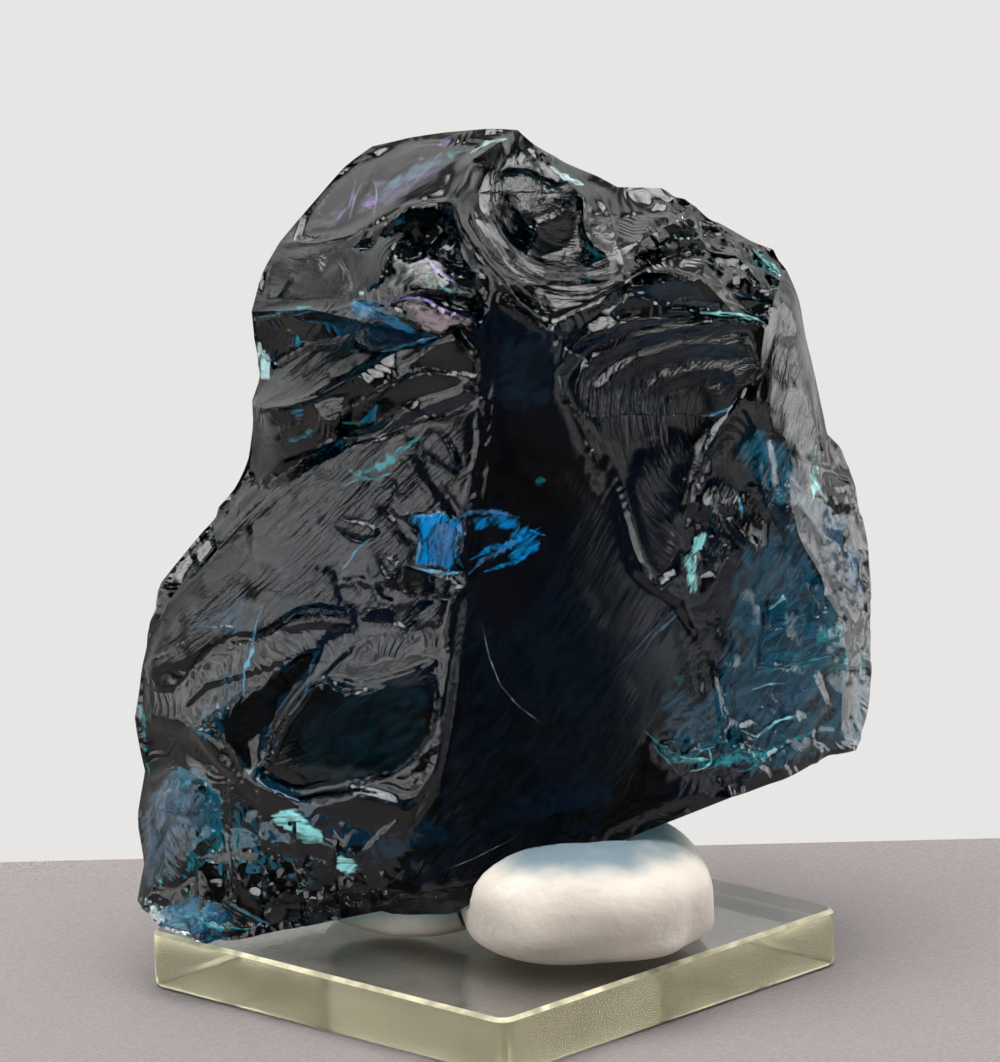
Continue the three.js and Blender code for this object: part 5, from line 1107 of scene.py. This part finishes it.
class Film:
    """Collects the films of one tint into one closed thin mesh."""

    def __init__(self):
        self.points, self.faces, self.rim, self.dense, self.grain = [], [], [], [], []

    def sheet(self, top, quads, rim, dense, grain, depth):
        """top: [right, up, away] of the skin over each corner."""
        quads = [q for q in quads if np.ptp([top[i][2] for i in q]) < TORN]
        first, n = len(self.points), len(top)
        for extra in (depth, depth + VEIL_THICK):
            self.points += [place(u, w, v + extra) for u, w, v in top]
            self.rim += rim
            self.dense += [dense] * n
            self.grain += grain
        edges = {}
        for q in quads:
            self.faces.append([first + i for i in q])
            self.faces.append([first + n + i for i in reversed(q)])
            for a, b in zip(q, q[1:] + q[:1]):
                edges[(a, b)] = True
        for a, b in edges:
            if (b, a) not in edges:
                self.faces.append([first + b, first + a, first + n + a, first + n + b])

    def patch(self, tree, dense, depth, run, outline):
        """A film that follows the skin inside an outline, with a wavy rim."""
        pts = np.array(outline)
        low, high = pts.min(0) - PATCH_STEP, pts.max(0) + PATCH_STEP
        us, ws = (np.arange(low[k], high[k], PATCH_STEP) for k in (0, 1))
        grid = np.array([(u, w) for w in ws for u in us])
        deep = within(grid, outline)
        waver = WAVER * noise(np.c_[grid, grid[:, 0] * 0], WAVE, 5)
        deep = np.where(deep > -SPILL, deep + waver, deep)
        turn = math.radians(run)
        clear = 1.7 if np.prod(pts.max(0) - pts.min(0)) < SMALL else 1.0
        index, top, rim, grain = {}, [], [], []
        for k in np.flatnonzero(deep > -SPILL):
            u, w = grid[k]
            v = skin_depth(tree, u, w)
            if v is None:
                continue
            index[k] = len(top)
            top.append((u, w, v))
            rim.append(float(smooth(max(deep[k], 0) / min(0.4 + 1.2 * depth, 2.5))) * clear)
            along = u * math.cos(turn) + w * math.sin(turn)
            across = w * math.cos(turn) - u * math.sin(turn)
            grain.append((along * WISP_RUN, across * WISP_STEP, depth * 3))
        wide = len(us)
        cells = [(k, k + 1, k + wide + 1, k + wide) for k in index if (k + 1) % wide]
        quads = [[index[i] for i in c] for c in cells if all(i in index for i in c)]
        self.sheet(top, quads, rim, dense, grain, depth)

    def thread(self, tree, wide, dense, depth, line):
        """A narrow trail along a line, thin at its ends."""
        pts = np.array(line, float)
        run = np.concatenate([[0], np.cumsum(np.hypot(*np.diff(pts, axis=0).T))])
        at = np.linspace(0, run[-1], max(4, int(run[-1] / THREAD_STEP)))
        u, w = np.interp(at, run, pts[:, 0]), np.interp(at, run, pts[:, 1])
        du, dw = np.gradient(u), np.gradient(w)
        size = np.hypot(du, dw)
        top, rim, grain, kept = [], [], [], []
        for i in range(len(at)):
            taper = min(1, 4 * min(i + 0.4, len(at) - 0.6 - i) / len(at)) * (0.8 + 0.35 * math.sin(i * 1.7))
            row = []
            for side in (-1, -0.5, 0, 0.5, 1):
                off = side * wide * 0.75 * taper
                a, b = u[i] - dw[i] / size[i] * off, w[i] + du[i] / size[i] * off
                v = skin_depth(tree, a, b)
                if v is not None:
                    row.append((a, b, v, side))
            if len(row) == 5:
                kept.append(i)
                top += [(a, b, v) for a, b, v, _ in row]
                rim += [1.5 * (1 - abs(side)) for _, _, _, side in row]
                grain += [(at[i] * TRAIL_RUN, side * TRAIL_STEP, depth * 5) for _, _, _, side in row]
        whole = [j * 5 for j in range(len(kept) - 1) if kept[j + 1] == kept[j] + 1]
        quads = [[a, a + 1, a + 6, a + 5] for j in whole for a in range(j, j + 4)]
        self.sheet(top, quads, rim, dense, grain, depth)

    def mesh(self, name):
        mesh = bpy.data.meshes.new(name)
        mesh.from_pydata(self.points, [], self.faces)
        write(mesh, "rim", "FLOAT", "POINT", self.rim)
        write(mesh, "dense", "FLOAT", "POINT", self.dense)
        write(mesh, "grain", "FLOAT_VECTOR", "POINT", self.grain)
        with editing(mesh) as bm:
            bmesh.ops.delete(bm, geom=[v for v in bm.verts if not v.link_faces], context="VERTS")
            bmesh.ops.recalc_face_normals(bm, faces=bm.faces)
        return mesh


def veil_material(tint):
    """Wisps along the film's own grain, see-through between them and towards its rim."""
    n = Nodes("veil_" + tint)
    wisps = n.noise(n.stored("grain", "Vector"), 1.0, 4, 0.6, 1.2)
    edge = n.math("MULTIPLY_ADD", n.stored("rim"), SOLID.get(tint, SOLID_ELSE), wisps)
    colour = TINTS[tint]
    tone = n.mix(n.ramp(wisps, 0.35, 0.62), (*[c * 0.25 for c in colour], 1), (*colour, 1))
    look = {
        "Base Color": tone, "Alpha": n.times(n.ramp(edge, 0.60, 0.96), n.stored("dense")),
        "Roughness": 0.7, "Specular IOR Level": 0.0,
    }
    # painted light: the film glows though no lamp lights it
    if tint in PAINTED_GLOW:
        look |= {"Emission Color": tone, "Emission Strength": PAINTED_GLOW[tint]}
    return n.surface(look)


def build_veils(chunk):
    with editing(chunk.data) as bm:
        tree = BVHTree.FromBMesh(bm)
    films = {}
    for tint, *row in PATCHES:
        films.setdefault(tint, Film()).patch(tree, *row)
    for tint, *row in THREADS:
        films.setdefault(tint, Film()).thread(tree, *row)
    for tint, film in films.items():
        obj = shown("veil_" + tint, film.mesh("veil_" + tint))
        obj.data.materials.append(veil_material(tint))
        obj.data.shade_smooth()
        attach(obj, "root")


# ---- Pieces ----
def piece(name, mesh, material, node):
    """A finished mesh that takes the place of a solid."""
    obj = shown(name, mesh)
    mesh.materials.clear()
    mesh.materials.append(material)
    mesh.shade_smooth()
    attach(obj, "root")
    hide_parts(node)
    return obj


CHUNK_SHARP, SLAB_SHARP = 30, 20  # degrees from which an edge looks sharp
PUTTY_CREASE = (28, 58, 0.7)  # from and to degrees, and how firm: the lumps stay rounded


def putty_mesh(node):
    bm = merged(node)
    creased(bm, *PUTTY_CREASE)
    return baked(as_mesh(bm, node + "_base"), node + "_fine", 2)


def slab_mesh():
    bm = merged("acrylic_base")
    bmesh.ops.dissolve_limit(bm, angle_limit=math.radians(1), verts=bm.verts, edges=bm.edges)
    return as_mesh(bm, "slab_fine")


FOOT, CHAMFER, TOP = 0.4, 5.6, 6.0  # heights in mm of the corners in the slab's profile
BAND_LIFT = 0.012 * MM  # how far a painted light band stands proud
BAND_DEEP = 3  # how many times as far it reaches into the slab


def painted_light_band(name, levels, size, least, most):
    """A pale band painted round the slab's rim in place of its highlight: a thin closed band between two
    heights.
    """
    rims = []
    for level in levels:
        ring = [v.co.copy() for v in slab.data.vertices if abs(v.co.z / MM - level) < 0.05]
        middle = sum(ring, Vector()) / len(ring)
        ring.sort(key=lambda p: math.atan2(p.y - middle.y, p.x - middle.x))
        rims.append([(p, Vector((p.x - middle.x, p.y - middle.y, 0)).normalized()) for p in ring])
    low, high = rims
    up = Vector((0, 0, 1 if levels[1] == TOP else 0))
    points = []
    for ring, lift in ((low, 1), (high, 1), (high, -BAND_DEEP), (low, -BAND_DEEP)):
        points += [p + (out + up) * lift * BAND_LIFT for p, out in ring]
    n = len(low)
    faces = []
    for k in range(4):
        a, b = k * n, (k + 1) % 4 * n
        faces += [[a + i, a + (i + 1) % n, b + (i + 1) % n, b + i] for i in range(n)]
    mesh = bpy.data.meshes.new(name)
    mesh.from_pydata(points, [], faces)
    mesh.materials.append(highlight_material(name, size, least, most))
    obj = shown(name, mesh)
    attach(obj, "root")


chunk = piece("slag_glass_chunk", chunk_mesh(), glass_material(), "glass_chunk")
sharpen(chunk.data, CHUNK_SHARP)
build_veils(chunk)
putty = putty_material()
for lump in ("putty_front", "putty_back"):
    piece(lump + "_pressed", putty_mesh(lump), putty, lump)
slab = piece("slab", slab_mesh(), acrylic_material(), "acrylic_base")
sharpen(slab.data, SLAB_SHARP)
# painted highlight on the chamfer, fainter painted light on the sides
painted_light_band("chamfer_highlight", (CHAMFER, TOP), 2.2, 0.4, 0.85)
painted_light_band("side_light", (FOOT, CHAMFER), 9.0, 0.10, 0.26)

# ---- Floor, in metres ----
FLOOR_SIDE = 0.7
FLOOR_FRONT = -1.0
FLOOR_BACK = slab_high.y + 11.4 * MM  # the cloth ends just behind the slab
FLOOR_GAP = 0.15 * MM  # air under the slab


def floor_object():
    left, right = (-FLOOR_SIDE, FLOOR_BACK + 4 * MM), (FLOOR_SIDE, FLOOR_BACK - 3 * MM)
    corners = [(-FLOOR_SIDE, FLOOR_FRONT), (FLOOR_SIDE, FLOOR_FRONT), right, left]
    mesh = bpy.data.meshes.new("floor")
    mesh.from_pydata([(x, y, -FLOOR_GAP) for x, y in corners], [], [(0, 1, 2, 3)])
    mesh.materials.append(cloth_material())
    return shown("floor", mesh)


floor = floor_object()

# ---- World: soft panels round the object, as brightness by direction ----
PANELS = [  # azimuth, elevation, half width, half height, soft rim, brightness
    (-68, 24, 0.62, 0.44, 0.18, 2.7),
    (100, 12, 0.50, 0.36, 0.18, 2.3),
    (44, 18, 0.44, 0.42, 0.16, 0.8),
    (122, -6, 0.42, 0.30, 0.20, 1.8),
]
BACKDROP = (0.80, 0.792, 0.784, 1)  # what the camera itself sees
OVERHEAD = 8.0


class World(Nodes):
    def __init__(self, name):
        world = bpy.data.worlds.new(name)
        world.use_nodes = True
        bpy.context.scene.world = world
        self.tree = world.node_tree
        self.tree.nodes.clear()
        self.out = self.add("ShaderNodeOutputWorld")
        self.ray = self.add("ShaderNodeTexCoord").outputs["Generated"]

    def towards(self, way):
        return self.along(self.ray, way)

    def panel(self, azimuth, elevation, half_wide, half_high, soft):
        """1 inside a panel at unit distance, 0 outside; azimuth 0 is towards -Y, 90 towards +X."""
        a, e = math.radians(azimuth), math.radians(elevation)
        out = Vector((math.sin(a) * math.cos(e), -math.cos(a) * math.cos(e), math.sin(e)))
        right = Vector((math.cos(a), math.sin(a), 0))
        ahead = self.math("MAXIMUM", self.towards(out), 0.001)
        inside = self.ramp(self.towards(out), 0.02, 0.1)
        for way, half in ((right, half_wide), (out.cross(right), half_high)):
            off = self.math("ABSOLUTE", self.math("DIVIDE", self.towards(way), ahead))
            inside = self.times(inside, self.ramp(off, half, half - soft))
        return inside


def build_world():
    w = World("studio")
    back, high = w.towards(Vector((0, 1, 0))), w.towards(Vector((0, 0, 1)))
    behind = w.times(w.ramp(back, -0.15, 0.25, 0.09, 0.5), w.ramp(high, -0.5, -0.26, 0.15, 1.0))
    upper = w.times(w.ramp(back, -0.1, 0.4, 0.0, 0.7), w.ramp(high, 0.1, 0.55))
    light = w.times(w.math("ADD", behind, upper), w.ramp(high, 0.64, 0.76, 1.0, 0.25))
    light = w.math("ADD", light, w.ramp(high, 0.83, 0.93, 0.0, OVERHEAD))
    for *shape, bright in PANELS:
        light = w.math("MULTIPLY_ADD", w.panel(*shape), bright, light)
    folds = w.ramp(w.noise(w.ray, 0.08, 2, 0.6, 0.5), 0.32, 0.66, 0.25, 1.3)  # only in front of the object
    light = w.times(light, w.mix(w.ramp(back, -0.1, 0.3), folds, (1, 1, 1, 1)))
    to_camera = w.add("ShaderNodeLightPath").outputs["Is Camera Ray"]
    background = w.add("ShaderNodeBackground")
    w.link(w.mix(to_camera, light, BACKDROP), background.inputs["Color"])
    w.link(background.outputs[0], w.out.inputs["Surface"])
    bpy.context.scene.world.cycles.sampling_method = "NONE"  # the light is soft all round


build_world()

# ---- Camera: square on to the show plane, lengths as shares of the slab's side ----
SLAB_SIDE = 50.8
CAMERA_RIGHT, CAMERA_BACK, CAMERA_UP = 0.03277 * SLAB_SIDE, 16 * SLAB_SIDE, 0.79059 * SLAB_SIDE
CAMERA_ROLL = math.radians(1.4567)
SENSOR = 36
FOCAL_PX, PICTURE_PX = 7836.15, 1062  # focal length and height of the picture in its pixels
BOUNCES = 7  # enough for the glass, and quick


def camera():
    across, up = Vector((1, 0, 0)), Vector((0, math.sin(TILT), math.cos(TILT)))
    right = across * math.cos(CAMERA_ROLL) - up * math.sin(CAMERA_ROLL)
    top = across * math.sin(CAMERA_ROLL) + up * math.cos(CAMERA_ROLL)
    m = Matrix((right, top, -AHEAD)).transposed().to_4x4()
    m.translation = ORIGIN + (across * CAMERA_RIGHT - AHEAD * CAMERA_BACK + up * CAMERA_UP) * MM
    data = bpy.data.cameras.new("camera")
    data.sensor_width = SENSOR
    data.lens = SENSOR * FOCAL_PX / PICTURE_PX
    data.clip_start = 0.05
    obj = shown("camera", data)
    obj.matrix_world = m
    bpy.context.scene.camera = obj


camera()
bpy.context.scene.view_settings.view_transform = "Standard"
bpy.context.scene.cycles.max_bounces = BOUNCES
bpy.context.scene.cycles.transmission_bounces = BOUNCES
